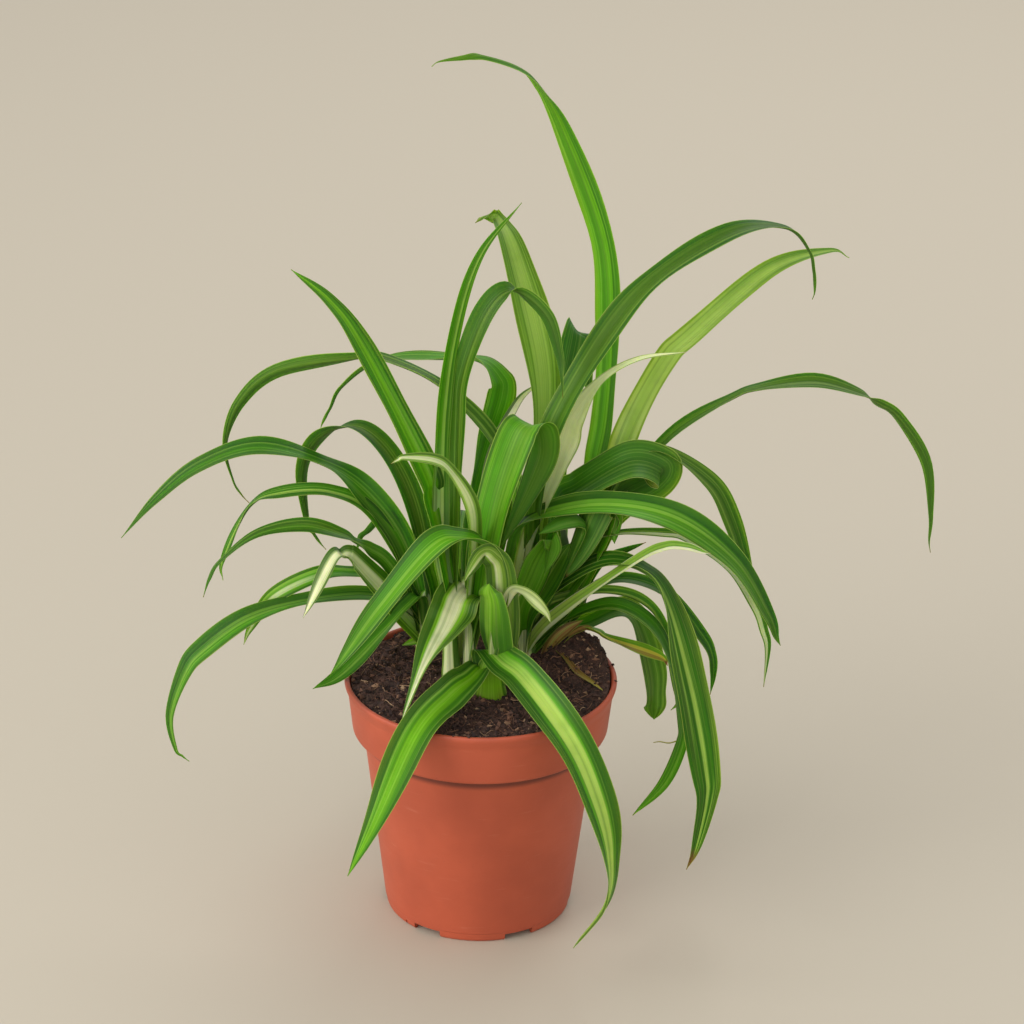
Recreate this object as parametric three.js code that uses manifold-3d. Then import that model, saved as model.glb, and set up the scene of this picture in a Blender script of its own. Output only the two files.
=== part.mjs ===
// Potted spider plant (Chlorophytum comosum 'Vittatum'): five leaf crowns growing from the compost of a
// round plastic nursery pot. Units are millimetres, +Z is up, and the front of the plant faces -Y.
// The origin is the centre of the pot's base, on the surface that the pot stands on.
import * as THREE from 'three';
import Module from 'manifold-3d';
import * as BufferGeometryUtils from 'three/addons/utils/BufferGeometryUtils.js';

// ---- Driving dimensions -----------------------------------------------------------------------------
const POT_HEIGHT = 111;
const RIM_RADIUS = 60;          // outside of the lip, for a 12 cm pot
const LIP_HEIGHT = 4.5;
const LIP_STEP = 1.4;           // how far the lip stands out from the top of the band
const LIP_THICKNESS = 2.4;
const BAND_RADIUS = 56.5;       // lower edge of the upright band below the lip
const BAND_HEIGHT = 24;         // from the lower edge of the band to the top of the lip
const BODY_TOP_RADIUS = 51.7;   // the tapered body, just under the band
const BASE_RADIUS = 41;
const FOOT_RADIUS = 40.2;       // outside of the ring that the pot stands on
const FOOT_WIDTH = 1.6;
const WALL = 1.3;
const FLOOR = 1.6;
const EASED = 1;                // how far the pot's edges are taken off
const POT_SIDES = 40;

const CHANNEL_RISE = 2.6;       // the drain channel under the floor, between the foot ring and the middle
const CHANNEL_INNER = 27;
const DRAIN_COUNT = 6;
const DRAIN_WIDTH = 13.5;
const DRAIN_HEIGHT = 3.2;       // of the notch in the foot ring
const DRAIN_REACH = 10;         // how far the notch's cutter reaches in and out together
const DRAIN_TURN = -63;         // heading of the first notch, in degrees from +X
const HOLE_WIDTH = 9.5;         // the hole through the floor behind each notch
const HOLE_LENGTH = 4;
const HOLE_INSET = 7;           // from the base's edge to the middle of the hole

const SOIL_LEVEL = 109;         // mean height of the compost
const SOIL_SLOPE = 0.03;        // it lies a little lower at the front
const SOIL_EDGE = 56.8;         // radius of its surface
const SOIL_RINGS = [12, 24, 36, 47];
const SOIL_SIDES = 32;
const HEAP_AT = [43, 19];       // the heap against the wall, in front of the back right crown
const HEAP_HEIGHT = 12.5;
const HEAP_SPREAD = 11;
const LUMP_HEIGHT = 0.7;
const LOOSE_AT_WALL = 0.35;     // share of the slope and lumps that is left where the bed meets the wall
const SOIL_CHAMFER = 2;         // at the foot of the bed, and where it widens into the band
const SOIL_CLEARANCE = 0.4;     // from the pot's upright walls, whose facets lie a little inside the circle
const FIT_GAP = 0.3;            // clearance between neighbouring pieces

const BLADE_THICKNESS = 0.8;
const BLADE_STEP = 34;          // a longer stretch between two route points gets a section half way along it
const TIP_WIDTH = 0.9;
const CREASE_AT_BASE = 0.42;    // rise of the blade's edges over its midrib, as a share of half its width
const CREASE_AT_TIP = 0.14;
const WIDEST_AT = 0.45;         // share of the length where the blade is widest

const STEM_RADIUS = 6.5;        // the short sheathed stem of a crown
const STEM_SIDES = 8;
const STEM_DEPTH = 14;          // how far it stands in the compost
const STEM_RISE = 14;           // how far it shows above the compost

// ---- Leaves of each crown ---------------------------------------------------------------------------
// A leaf arches out from its crown in an upright plane with the given heading (degrees from +X). Its route
// lists [out, up, roll, sway]: distance from the crown, height, turn of the blade about its midrib in
// degrees, and sideways departure from the plane, towards the left seen from the crown. base is the
// blade's width where it starts, as a share of its full width, and a larger taper keeps it wide for longer.
const CROWNS = {
  front: { at: [4, -14], level: 108, leaves: [
    // Broad leaf arching out to the left, over the rim
    { heading: 196, width: 15.5, base: 0.4, taper: 3, route: [
      [2, 112, 10, -2], [-3, 153, 10, -2], [1, 178, 10, -2], [13, 184, 10, -4], [26, 181, -20, -3],
      [49, 157, -25], [64, 141, -40, 5], [69, 135, -65, 6], [73, 131, -65, 7]] },
    // Broad leaf hanging in front of the pot on the left
    { heading: 237, width: 16.5, base: 0.7, taper: 2.2, route: [
      [2, 112, 10, -2], [2, 122, 10, -2], [12, 121, -5, -2], [28, 120, -35, -2], [54, 112, -10, -2],
      [85, 82, 0, -2], [104, 66, 10, -2]] },
    // Broad striped leaf hanging in front of the pot on the right, with a thin tail
    { heading: -55, width: 17.5, base: 0.7, taper: 2.2, route: [
      [1, 112, 5, 2], [-5, 128, 5, 2], [9, 128, 40, 2], [25, 126, 35, 2], [59, 111, 15, 2],
      [78, 92, -5, 2], [88, 70, -25, 2], [87, 46, -35, 2], [64, 12, -35, 2]] },
    // Short plain leaf standing upright in front
    { heading: 250, width: 18.5, base: 0.4, taper: 5, route: [
      [-3, 112, -25, -1], [-4, 118, -25, 2], [0, 136, -25, 1], [4, 155, -20, 2], [5, 161, 5, 1],
      [5, 165, 5, 1]] },
    // Striped leaf above it, curled over to the left
    { heading: 200, width: 15, base: 0.4, taper: 2.2, route: [
      [-4, 112, 40, -1], [-5, 135, 40, 1], [-3, 168, 60, 3], [1, 177, 75, 4], [5, 179, 70, 3],
      [11, 171, 105, 3], [13, 166, 105, 2]] },
    // Small pale leaf curled over to the right
    { heading: -20, width: 9.5, base: 0.4, taper: 3, route: [
      [3, 112, -25, 2], [3, 135, -25, 2], [9, 157, -45, 2], [14, 160, -55, 2], [24, 153, -105, 2],
      [27, 148, -105, 2]] },
  ] },
  middle: { at: [-10, 8], level: 109.5, leaves: [
    // Leaf that arches over to the right and hangs its tip
    { heading: 60, width: 11, base: 0.7, taper: 3, route: [
      [-1, 112, -20, 3], [2, 161, -20, 4], [5, 184, -20, 5], [11, 222, -15, 8], [14, 244, -10, 8],
      [21, 272, 0, 1], [28, 282, 0, -8], [33, 272, 0, -22], [35, 254, -10, -28], [34, 245, 15, -30],
      [34, 235, 15, -31]] },
    // Broad leaf folded over, the middle one of the tuft
    { heading: 75, width: 19, base: 0.7, taper: 2.2, route: [
      [-1, 112, -45, -3], [0, 145, -45, -9], [2, 188, -25, -15], [8, 217, -20, -22], [12, 225, -10, -26],
      [18, 222, 10, -30], [21, 210, 20, -31], [19, 196, 10, -27], [12, 165, 5, -15]] },
    // Narrow pale leaf behind the folded one
    { heading: 50, width: 5, base: 0.4, taper: 5, route: [
      [4, 112, 0], [12, 160, 0, -2], [26, 197, 0, 6], [47, 219, 40, 9], [63, 225, 45, 9]] },
    // Long stiff leaf leaning out high at the left
    { heading: 165, width: 13.5, base: 0.4, taper: 3, route: [
      [3, 112, -20], [3, 143, -20], [13, 189, -20], [16, 204, -25], [44, 258, -25], [59, 278, -35],
      [76, 290, -60]] },
    // Narrow leaf, nearly upright, its tip crossing the tallest broad one
    { heading: 100, width: 8.5, base: 0.4, taper: 2.2, route: [
      [-1, 112, 10, 4], [1, 144, 10, 5], [5, 171, 10, 8], [13, 227, 35, 6], [21, 266, 25, -1],
      [28, 294, 20, -12], [39, 313, 20, -32]] },
    // Leaf arching left behind the others, with a thin tail
    { heading: 150, width: 9.5, base: 0.4, taper: 2.2, route: [
      [0, 112, 0, -4], [-8, 154, 0, -15], [-7, 188, 0, -27], [1, 211, 0, -28], [25, 233, 10, -22],
      [51, 241, 10, -17], [62, 240, 40, -14], [97, 229, 65, -5], [114, 212, 55], [121, 191, 0, 2],
      [118, 174, -10, 1], [114, 167, 50], [110, 163, 50, -1]] },
    // Leaf folded over to the left that runs out in a long thin tail
    { heading: 140, width: 16, base: 0.7, taper: 2.2, route: [
      [3, 112, 15, -2], [6, 153, 15, -10], [14, 180, 15, -23], [16, 204, 0, -35], [16, 223, -15, -44],
      [18, 230, 5, -45], [26, 237, 20, -42], [40, 237, 10, -33], [63, 234, 0, -19], [77, 221, -10, -9],
      [80, 211, -10, -4], [82, 204, 60, -1], [83, 201, 60, -1]] },
    // Pale young leaf arching low to the left
    { heading: 190, width: 9.5, base: 0.4, taper: 5, route: [
      [-1, 112, -40, 4], [-4, 155, -40, 3], [-5, 175, -40, 6], [-2, 196, -50, 14], [7, 213, -20, 16],
      [14, 219, -15, 17], [27, 222, -20, 19], [30, 221, -40, 19], [33, 220, -40, 20]] },
    // Broad cream-banded leaf hanging over the compost at the left front
    { heading: 247, width: 20.5, base: 0.4, taper: 2.2, route: [
      [4, 112, -40, 2], [-5, 123, -40, 2], [-11, 140, -40, 2], [-6, 147, -40, 2], [5, 147, -10, 2],
      [11, 143, -15, 2], [19, 138, 10, 2], [43, 129, 40, 2], [64, 115, 40, 2]] },
    // Arching leaf at the rear left
    { heading: 86, width: 10.5, base: 0.6, taper: 2.2, route: [
      [3, 112, 0], [13, 140, 0], [38, 160, -5], [75, 152, -10], [110, 117, -10], [140, 66, -5],
      [154, 22, 0]] },
  ] },
  left: { at: [-24, 30], level: 110, leaves: [
    // Short upright leaf tucked in beside the long ones
    { heading: 150, width: 10, base: 0.4, taper: 5, route: [
      [3, 113, -25], [-5, 134, -25], [-1, 153, -25], [15, 194, -15]] },
    // Shaded leaf over the rim at the left front
    { heading: 224, width: 9.5, base: 0.4, taper: 3, route: [
      [3, 113, 5], [5, 135, 5], [12, 135, 5], [26, 127, 5], [52, 114, -35], [68, 112, -30]] },
    // Longest leaf of the left side, arching far out
    { heading: 172, width: 12.5, base: 0.7, taper: 2.2, route: [
      [3, 113, -60], [2, 123, -60], [11, 159, -60], [27, 182, -45], [46, 195, 0], [76, 201, -15],
      [103, 190, -35], [123, 172, -35], [139, 152, -40]] },
    // Dark leaf bowed out and down
    { heading: 160, width: 11, base: 0.4, taper: 2.2, route: [
      [3, 113, -30], [-1, 133, -30], [4, 167, -30], [12, 190, -30], [24, 206, -15], [37, 211, 10],
      [52, 203, 40], [60, 186, 25], [58, 161, 25], [55, 156, 10], [52, 152, 55], [49, 149, 55]] },
    // Narrow pale-striped leaf out to the left
    { heading: 180, width: 7.5, base: 0.4, taper: 3, route: [
      [3, 113, -40], [6, 138, -40], [24, 174, -40], [43, 185, -25], [65, 184, -20], [79, 177, 5],
      [91, 151, -75], [91, 141, -75]] },
    // Narrow dark leaf out to the left
    { heading: 190, width: 7.5, base: 0.7, taper: 2.2, route: [
      [3, 113, -65], [4, 128, -65], [18, 152, -65], [26, 159, -40], [32, 163, 5], [38, 167, -10],
      [55, 173, -40], [76, 170, -20], [92, 158, 0], [97, 150, -35], [100, 141, -35]] },
    // Broad cream leaf with its end hanging straight down
    { heading: 200, width: 14.5, base: 0.7, taper: 2.2, route: [
      [3, 113, -70], [2, 116, -70], [31, 153, -40], [36, 159, -25], [39, 160, 5], [44, 159, 0],
      [58, 133, -30]] },
    // Bright leaf nearly level, out to the left
    { heading: 185, width: 9, base: 0.4, taper: 3, route: [
      [3, 113, -5], [6, 126, -5], [19, 143, -5], [37, 147, -10], [50, 146, -35], [69, 136, -50],
      [79, 121, -65], [82, 113, -65]] },
    // Low leaf arching over the rim, its tip far out and down
    { heading: 192, width: 11.5, base: 0.4, taper: 2.2, route: [
      [3, 113, -20], [7, 126, -20], [25, 137, -20], [53, 137, 0], [80, 131, -25], [101, 117, -35],
      [109, 107, -35], [116, 86, -30], [114, 69, -40], [111, 65, -70], [108, 62, -70]] },
    // Small pale shoot in the compost
    { heading: 200, width: 4.5, base: 0.7, taper: 2.2, route: [
      [-1, 113, -35, 3], [3, 114, -35, 3], [6, 115, -20, 3], [13, 114, -15, 3]] },
    // Short inner leaf bowed to the left
    { heading: 165, width: 4.5, base: 0.4, taper: 5, route: [
      [3, 113, 65], [15, 170, 65], [29, 162, 60], [32, 158, 85], [33, 152, 85]] },
    // Low leaf at the rear left
    { heading: 85, width: 9.5, base: 0.6, taper: 2.2, route: [
      [3, 113, 0], [12, 132, -5], [32, 142, -10], [60, 129, -5], [86, 92, 0], [102, 48, 0], [107, 16, 0]] },
    // Low leaf out at the rear left
    { heading: 115, width: 8.5, base: 0.6, taper: 2.2, route: [
      [3, 113, 0], [12, 127, 5], [30, 132, 10], [48, 119, 5], [60, 93, 0], [67, 62, 0]] },
  ] },
  right: { at: [18, 22], level: 110.5, leaves: [
    // Tall leaf that arches high to the right and hangs
    { heading: 25, width: 12.5, base: 0.4, taper: 3, route: [
      [3, 114, 20], [5, 146, 20], [6, 185, 20], [14, 220, 20], [40, 261, 25], [63, 282, 15],
      [98, 297, 20], [124, 295, 0], [136, 283, 5], [139, 273, 0], [140, 263, -40], [139, 259, -40]] },
    // Pale upright leaf that arches right to a thin tip
    { heading: 10, width: 13, base: 0.4, taper: 2.2, route: [
      [3, 114, 15], [-1, 138, 15], [3, 164, 15, 2], [15, 198, 30, 5], [20, 211, 55, 7], [23, 221, 45, 7],
      [35, 238, 0, 7], [51, 247, -10, 7], [71, 250, 5, 5]] },
    // Upright leaf with a creased top that folds over
    { heading: 80, width: 16, base: 0.4, taper: 3, route: [
      [3, 114, 60, -2], [23, 147, 60, -3], [42, 183, 60, -5], [56, 211, 60, -7], [71, 232, 30, -9],
      [77, 236, 40, -9], [83, 230, -5, -11], [91, 214, -5, -11], [98, 194, -5, -13]] },
    // Long leaf reaching out to the right
    { heading: -14, width: 14, base: 0.7, taper: 5, route: [
      [3, 114, 5], [-6, 137, 5], [-5, 161, 5], [3, 177, 5], [34, 188, 20], [67, 186, 35], [94, 169, 25],
      [110, 145, 25], [114, 135, 50], [116, 131, 50]] },
    // Narrow leaf arching to the right under the long one
    { heading: -8, width: 5, base: 0.4, taper: 5, route: [
      [3, 114, 5], [3, 133, 5], [25, 165, 5], [40, 173, 5], [62, 175, 20], [72, 173, 20], [91, 160, 25],
      [103, 143, 70], [107, 132, 80], [109, 123, 55], [108, 104, 45]] },
    // Cream-edged leaf rising from the front to the right
    { heading: -22, width: 7, base: 1, taper: 5, route: [
      [2, 114, 45, -4], [3, 113, 45, -4], [15, 132, 45, -4], [53, 168, 20, -4], [67, 178, 20, -4],
      [77, 180, 25, -4], [85, 179, 65, -4], [88, 179, 65, -4]] },
    // Low grey-striped leaf arching over the rim at the right
    { heading: -5, width: 6.5, base: 1, taper: 5, route: [
      [3, 114, -70], [-2, 117, -70], [5, 128, -80], [12, 137, -65], [34, 144, -55], [52, 141, -65],
      [63, 127, -50], [69, 97, -50], [70, 91, -70], [67, 87, -70]] },
    // Long leaf hanging beside the pot at the right
    { heading: -12, width: 7.5, base: 0.7, taper: 5, route: [
      [3, 114, 40], [6, 114, 40], [18, 129, 25], [39, 140, 25], [56, 134, 20], [66, 118, 15],
      [72, 89, 15], [73, 77, 40], [66, 55, 75], [52, 36, 60]] },
    // Many-striped leaf at the right front, with a dry tip
    { heading: -20, width: 16.5, base: 0.4, taper: 3, route: [
      [3, 114, 30], [6, 131, 30], [14, 144, 30], [36, 161, 5], [54, 162, -15], [66, 150, 0],
      [79, 108, 40], [87, 70, 60], [88, 55, 45], [84, 30, 55], [80, 18, 50]] },
    // Upright inner leaf
    { heading: 30, width: 17.5, base: 0.4, taper: 3, route: [
      [0, 114, 0, -2], [0, 132, 0, -5], [5, 142, 0, -7], [12, 158, 15, -11], [15, 164, 50, -12],
      [16, 167, 50, -13]] },
    // Tall inner leaf at the right
    { heading: 60, width: 17, base: 0.7, taper: 2.2, route: [
      [-4, 114, 65, -1], [-7, 133, 65], [-4, 153, 60, -6], [-2, 162, 60, -9], [-1, 168, 65, -12],
      [-1, 170, 40, -15], [-2, 165, 20, -15], [-4, 155, 20, -13]] },
    // Broad inner leaf that hangs its tip
    { heading: 55, width: 17.5, base: 0.4, taper: 5, route: [
      [3, 114, 0], [10, 135, 0, -13], [17, 157, 0, -21], [21, 177, 0, -28], [19, 183, 0, -29],
      [16, 185, 0, -28], [13, 180, 0, -27], [10, 171, 5, -25], [4, 153, 5, -20]] },
    // Short inner leaf with its tip turned left
    { heading: 40, width: 9.5, base: 0.4, taper: 5, route: [
      [3, 114, -30], [13, 160, -30, -17], [17, 175, -30, -21], [14, 180, -30, -20], [8, 179, -30, -16],
      [-1, 174, -30, -11]] },
    // Short bent leaf with its tip turned down
    { heading: 45, width: 13, base: 0.4, taper: 5, route: [
      [3, 114, -10], [19, 159, -10, -22], [24, 178, -10, -27], [24, 184, -10, -28], [24, 182, -10, -30],
      [24, 177, -35, -31], [23, 169, -45, -33]] },
    // Broad tall leaf with a curled tip
    { heading: 92, width: 18, base: 0.4, taper: 5, route: [
      [2, 114, 50, 1], [4, 136, 50, -1], [14, 175, 50, -5], [22, 210, 50, -8], [37, 240, 25, -7],
      [66, 276, 25, 4], [79, 286, 30, 10], [80, 288, 70, 13], [78, 288, 40, 18], [77, 286, 40, 21]] },
    // Arching leaf at the rear right
    { heading: 84, width: 12, base: 0.6, taper: 2.2, route: [
      [3, 114, 0], [12, 140, 5], [32, 162, 5], [60, 170, 0], [95, 162, -5], [125, 136, -5], [148, 92, 0],
      [160, 50, 5], [163, 26, 10]] },
    // Low leaf at the rear right
    { heading: 98, width: 10, base: 0.6, taper: 2.2, route: [
      [3, 114, 0], [16, 150, 0], [40, 176, 0], [70, 178, 5], [98, 157, 5], [120, 118, 5], [134, 72, 0],
      [140, 38, 0]] },
  ] },
  back: { at: [33, 34], level: 115, leaves: [
    // Tallest leaf, nearly upright
    { heading: 85, width: 13, base: 0.4, taper: 2.2, route: [
      [3, 118, -35], [11, 147, -35, -13], [17, 189, -35, -15], [22, 211, -40, -18], [28, 247, -35, -19],
      [35, 290, -25, -15], [41, 338, -20, 4], [39, 358, -55, 15], [36, 367, -60, 24], [31, 373, -50, 39],
      [28, 373, -65, 48], [25, 372, -35, 57], [24, 370, -35, 60]] },
    // Tall pale leaf arching to the right
    { heading: 35, width: 13, base: 0.7, taper: 2.2, route: [
      [3, 118, 20], [18, 147, 20], [26, 175, 20], [39, 208, 20], [57, 234, 10], [70, 243, 10],
      [113, 266, 40], [147, 268, 40], [159, 262, 40]] },
    // Long leaf arching far out to the right
    { heading: 20, width: 8, base: 0.7, taper: 3, route: [
      [3, 118, 10], [12, 138, 10], [20, 164, 10], [31, 182, 10], [54, 206, 5], [81, 219, -10],
      [94, 222, 5], [121, 222, 30], [144, 213, 15], [153, 207, -35], [163, 199, -40], [178, 175, -70],
      [182, 148, -40], [182, 135, -65], [183, 129, -65]] },
    // Creased leaf that hangs behind the others on the right
    { heading: 8, width: 9.5, base: 0.4, taper: 5, route: [
      [3, 118, -5], [15, 151, -5], [25, 185, -5], [41, 203, -10], [66, 188, 45], [78, 167, 65],
      [91, 125, 65]] },
    // Creased leaf that turns back at its tip
    { heading: 5, width: 19.5, base: 0.7, taper: 5, route: [
      [2, 118, 5, 3], [8, 129, 5, 5], [7, 147, 5, 9], [2, 175, 5, 6], [9, 185, 15], [30, 201, 35, -6],
      [44, 197, 40, -4], [42, 190, 75], [27, 177, 110, 5], [8, 151, 110]] },
    // Dark leaf low at the right
    { heading: 0, width: 7, base: 0.7, taper: 3, route: [
      [3, 118, 15], [11, 126, 15], [15, 137, 15], [30, 143, 15], [49, 136, 25], [65, 116, 55],
      [70, 106, 45], [71, 96, 90], [70, 86, 90]] },
    // Short dark leaf with a blunt end
    { heading: -5, width: 14, base: 0.4, taper: 9, route: [
      [3, 118, 30, 2], [14, 120, 30, 3], [27, 128, 20, 1], [33, 127, 15, 1], [38, 119, 25, 1],
      [44, 98, 45, 2], [45, 85, 45, 2], [45, 79, 90, 2], [45, 74, 90, 2]] },
    // Dying yellow leaf low at the right rear
    { heading: -12, width: 6.5, base: 0.4, taper: 5, route: [
      [2, 118, -15], [15, 124, -20, -9], [21, 124, -10, -11], [27, 121, -5, -11], [47, 110, 40],
      [51, 105, 40, 1]] },
    // Short thin tip that shows at the right
    { heading: 0, width: 4.5, base: 0.4, taper: 3, route: [
      [3, 118, 70], [17, 148, 70], [24, 154, 70], [30, 157, 40], [39, 161, 65]] },
    // Arching leaf at the rear
    { heading: 90, width: 10.5, base: 0.6, taper: 2.2, route: [
      [3, 118, 0], [11, 138, 5], [32, 152, 10], [62, 147, 5], [94, 118, 0], [118, 72, 0], [130, 32, 0]] },
  ] },
};

// ---- Materials ----------------------------------------------------------------------------------------
const terracottaPlastic = new THREE.MeshStandardMaterial({ color: 0xbf5c3b, roughness: 0.55, metalness: 0 });
const compost = new THREE.MeshStandardMaterial({ color: 0x3b2823, roughness: 0.95, metalness: 0 });
const leafGreen = new THREE.MeshStandardMaterial({ color: 0x5a8f2a, roughness: 0.45, metalness: 0 });

// ---- Joining and cutting closed solids ------------------------------------------------------------------
const wasm = await Module();
wasm.setup();

function toSolid(geometry) {
  const bare = geometry.clone();
  bare.deleteAttribute('normal');
  bare.deleteAttribute('uv');
  const merged = BufferGeometryUtils.mergeVertices(bare, 1e-4);
  return new wasm.Manifold(new wasm.Mesh({
    numProp: 3,
    vertProperties: new Float32Array(merged.attributes.position.array),
    triVerts: new Uint32Array(merged.index.array),
  }));
}

function toGeometry(solid) {
  const mesh = solid.getMesh();
  const geometry = new THREE.BufferGeometry();
  geometry.setAttribute('position', new THREE.BufferAttribute(new Float32Array(mesh.vertProperties), 3));
  geometry.setIndex(new THREE.BufferAttribute(new Uint32Array(mesh.triVerts), 1));
  return geometry;
}

const join = (solids) => solids.reduce((whole, solid) => whole.add(solid));
const cut = (solid, tools) => tools.reduce((rest, tool) => rest.subtract(tool), solid);

// A profile of [radius, height] points turned round the upright axis.
function turned(profile, sides) {
  const points = profile.map(([radius, height]) => new THREE.Vector2(radius, height));
  return new THREE.LatheGeometry(points, sides).rotateX(Math.PI / 2);
}

// ---- Pot ------------------------------------------------------------------------------------------------
const bandBottom = POT_HEIGHT - BAND_HEIGHT;
const lipBottom = POT_HEIGHT - LIP_HEIGHT;
const bodyRadiusAt = (z) => BASE_RADIUS + (BODY_TOP_RADIUS - BASE_RADIUS) * z / bandBottom;
const innerBandRadius = BAND_RADIUS - WALL;
const innerLipRadius = RIM_RADIUS - LIP_THICKNESS;
const footInner = FOOT_RADIUS - FOOT_WIDTH;
const floorTop = CHANNEL_RISE + FLOOR;

function makePot() {
  const underside = [
    [0, 0],
    [CHANNEL_INNER, 0],
    [CHANNEL_INNER + 2, CHANNEL_RISE],
    [footInner - EASED, CHANNEL_RISE],
    [footInner, 0],
    [FOOT_RADIUS, 0],
    [BASE_RADIUS, EASED],
  ];
  const outside = [
    [BODY_TOP_RADIUS, bandBottom - EASED],
    [BAND_RADIUS - EASED / 2, bandBottom - EASED],
    [BAND_RADIUS, bandBottom],
    [RIM_RADIUS - LIP_STEP, lipBottom],
    [RIM_RADIUS, lipBottom + EASED],
    [RIM_RADIUS, POT_HEIGHT - EASED],
    [RIM_RADIUS - EASED, POT_HEIGHT],
  ];
  const inside = [
    [innerLipRadius, POT_HEIGHT],
    [innerBandRadius, bandBottom + EASED],
    [bodyRadiusAt(bandBottom) - WALL, bandBottom - 3 * EASED],
    [bodyRadiusAt(floorTop) - WALL, floorTop + 1.5 * EASED],
    [footInner - EASED, floorTop],
    [CHANNEL_INNER + EASED, floorTop],
    [CHANNEL_INNER - EASED, FLOOR],
    [0, FLOOR],
  ];
  const shell = toSolid(turned([...underside, ...outside, ...inside], POT_SIDES));
  const drains = [];
  for (let i = 0; i < DRAIN_COUNT; i += 1) {
    const heading = THREE.MathUtils.degToRad(DRAIN_TURN + 360 * i / DRAIN_COUNT);
    const notch = new THREE.BoxGeometry(DRAIN_REACH, DRAIN_WIDTH, 2 * DRAIN_HEIGHT);
    const hole = new THREE.BoxGeometry(HOLE_LENGTH, HOLE_WIDTH, 4 * floorTop);
    notch.translate(BASE_RADIUS, 0, 0).rotateZ(heading);
    hole.translate(BASE_RADIUS - HOLE_INSET, 0, 0).rotateZ(heading);
    drains.push(toSolid(notch), toSolid(hole));
  }
  return toGeometry(cut(shell, drains));
}

// ---- Compost --------------------------------------------------------------------------------------------
// Height of the surface. loose is 1 in the bed, and less at the wall, where the compost is pressed level.
function soilHeight(x, y, loose) {
  const fromHeap = Math.hypot(x - HEAP_AT[0], y - HEAP_AT[1]);
  const heap = HEAP_HEIGHT * Math.exp(-(fromHeap ** 2) / (2 * HEAP_SPREAD ** 2));
  const lumps = LUMP_HEIGHT * (Math.sin(0.31 * x + 1) * Math.cos(0.27 * y) + 0.6 * Math.sin(0.55 * (x + y)));
  return SOIL_LEVEL + heap + loose * (SOIL_SLOPE * y + lumps);
}

// The bed fills the pot to just inside its wall. Its top rings are then raised to soilHeight.
function makeSoil(stemHoles) {
  const wallTop = bandBottom - 3.5 * EASED;
  const outline = [
    [0, floorTop + FIT_GAP],
    [bodyRadiusAt(floorTop) - WALL - SOIL_CHAMFER, floorTop + FIT_GAP],
    [bodyRadiusAt(floorTop + SOIL_CHAMFER) - WALL - SOIL_CLEARANCE, floorTop + SOIL_CHAMFER],
    [bodyRadiusAt(wallTop) - WALL - SOIL_CLEARANCE, wallTop],
    [innerBandRadius - SOIL_CLEARANCE, bandBottom + SOIL_CHAMFER],
    [SOIL_EDGE - SOIL_CLEARANCE, SOIL_LEVEL - LIP_HEIGHT],
  ];
  const top = [...SOIL_RINGS].reverse().map((radius) => [radius, SOIL_LEVEL]);
  const bed = turned([...outline, [SOIL_EDGE, SOIL_LEVEL], ...top, [0, SOIL_LEVEL]], SOIL_SIDES);
  const position = bed.attributes.position;
  for (let i = 0; i < position.count; i += 1) {
    const x = position.getX(i);
    const y = position.getY(i);
    const atWall = Math.hypot(x, y) > (SOIL_EDGE + SOIL_RINGS.at(-1)) / 2;
    if (position.getZ(i) === SOIL_LEVEL) position.setZ(i, soilHeight(x, y, atWall ? LOOSE_AT_WALL : 1));
  }
  return toGeometry(cut(toSolid(bed), stemHoles));
}

// ---- Leaves ---------------------------------------------------------------------------------------------
// Width of a blade at a share s of its length: it swells from its base and narrows to a long point.
function bladeWidth(leaf, s) {
  const swell = leaf.base + (1 - leaf.base) * Math.sin(Math.PI / 2 * Math.min(1, s / WIDEST_AT));
  const past = Math.max(0, (s - WIDEST_AT) / (1 - WIDEST_AT));
  return Math.max(TIP_WIDTH, leaf.width * swell * (1 - past ** leaf.taper));
}

// The six corners of a blade's V-shaped section: its upper face from edge to edge, then its lower face.
function bladeSection(width, crease) {
  const half = width / 2;
  const rise = half * crease;
  return [[-half, rise], [0, 0], [half, rise],
    [half, rise - BLADE_THICKNESS], [0, -BLADE_THICKNESS], [-half, rise - BLADE_THICKNESS]];
}

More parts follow.
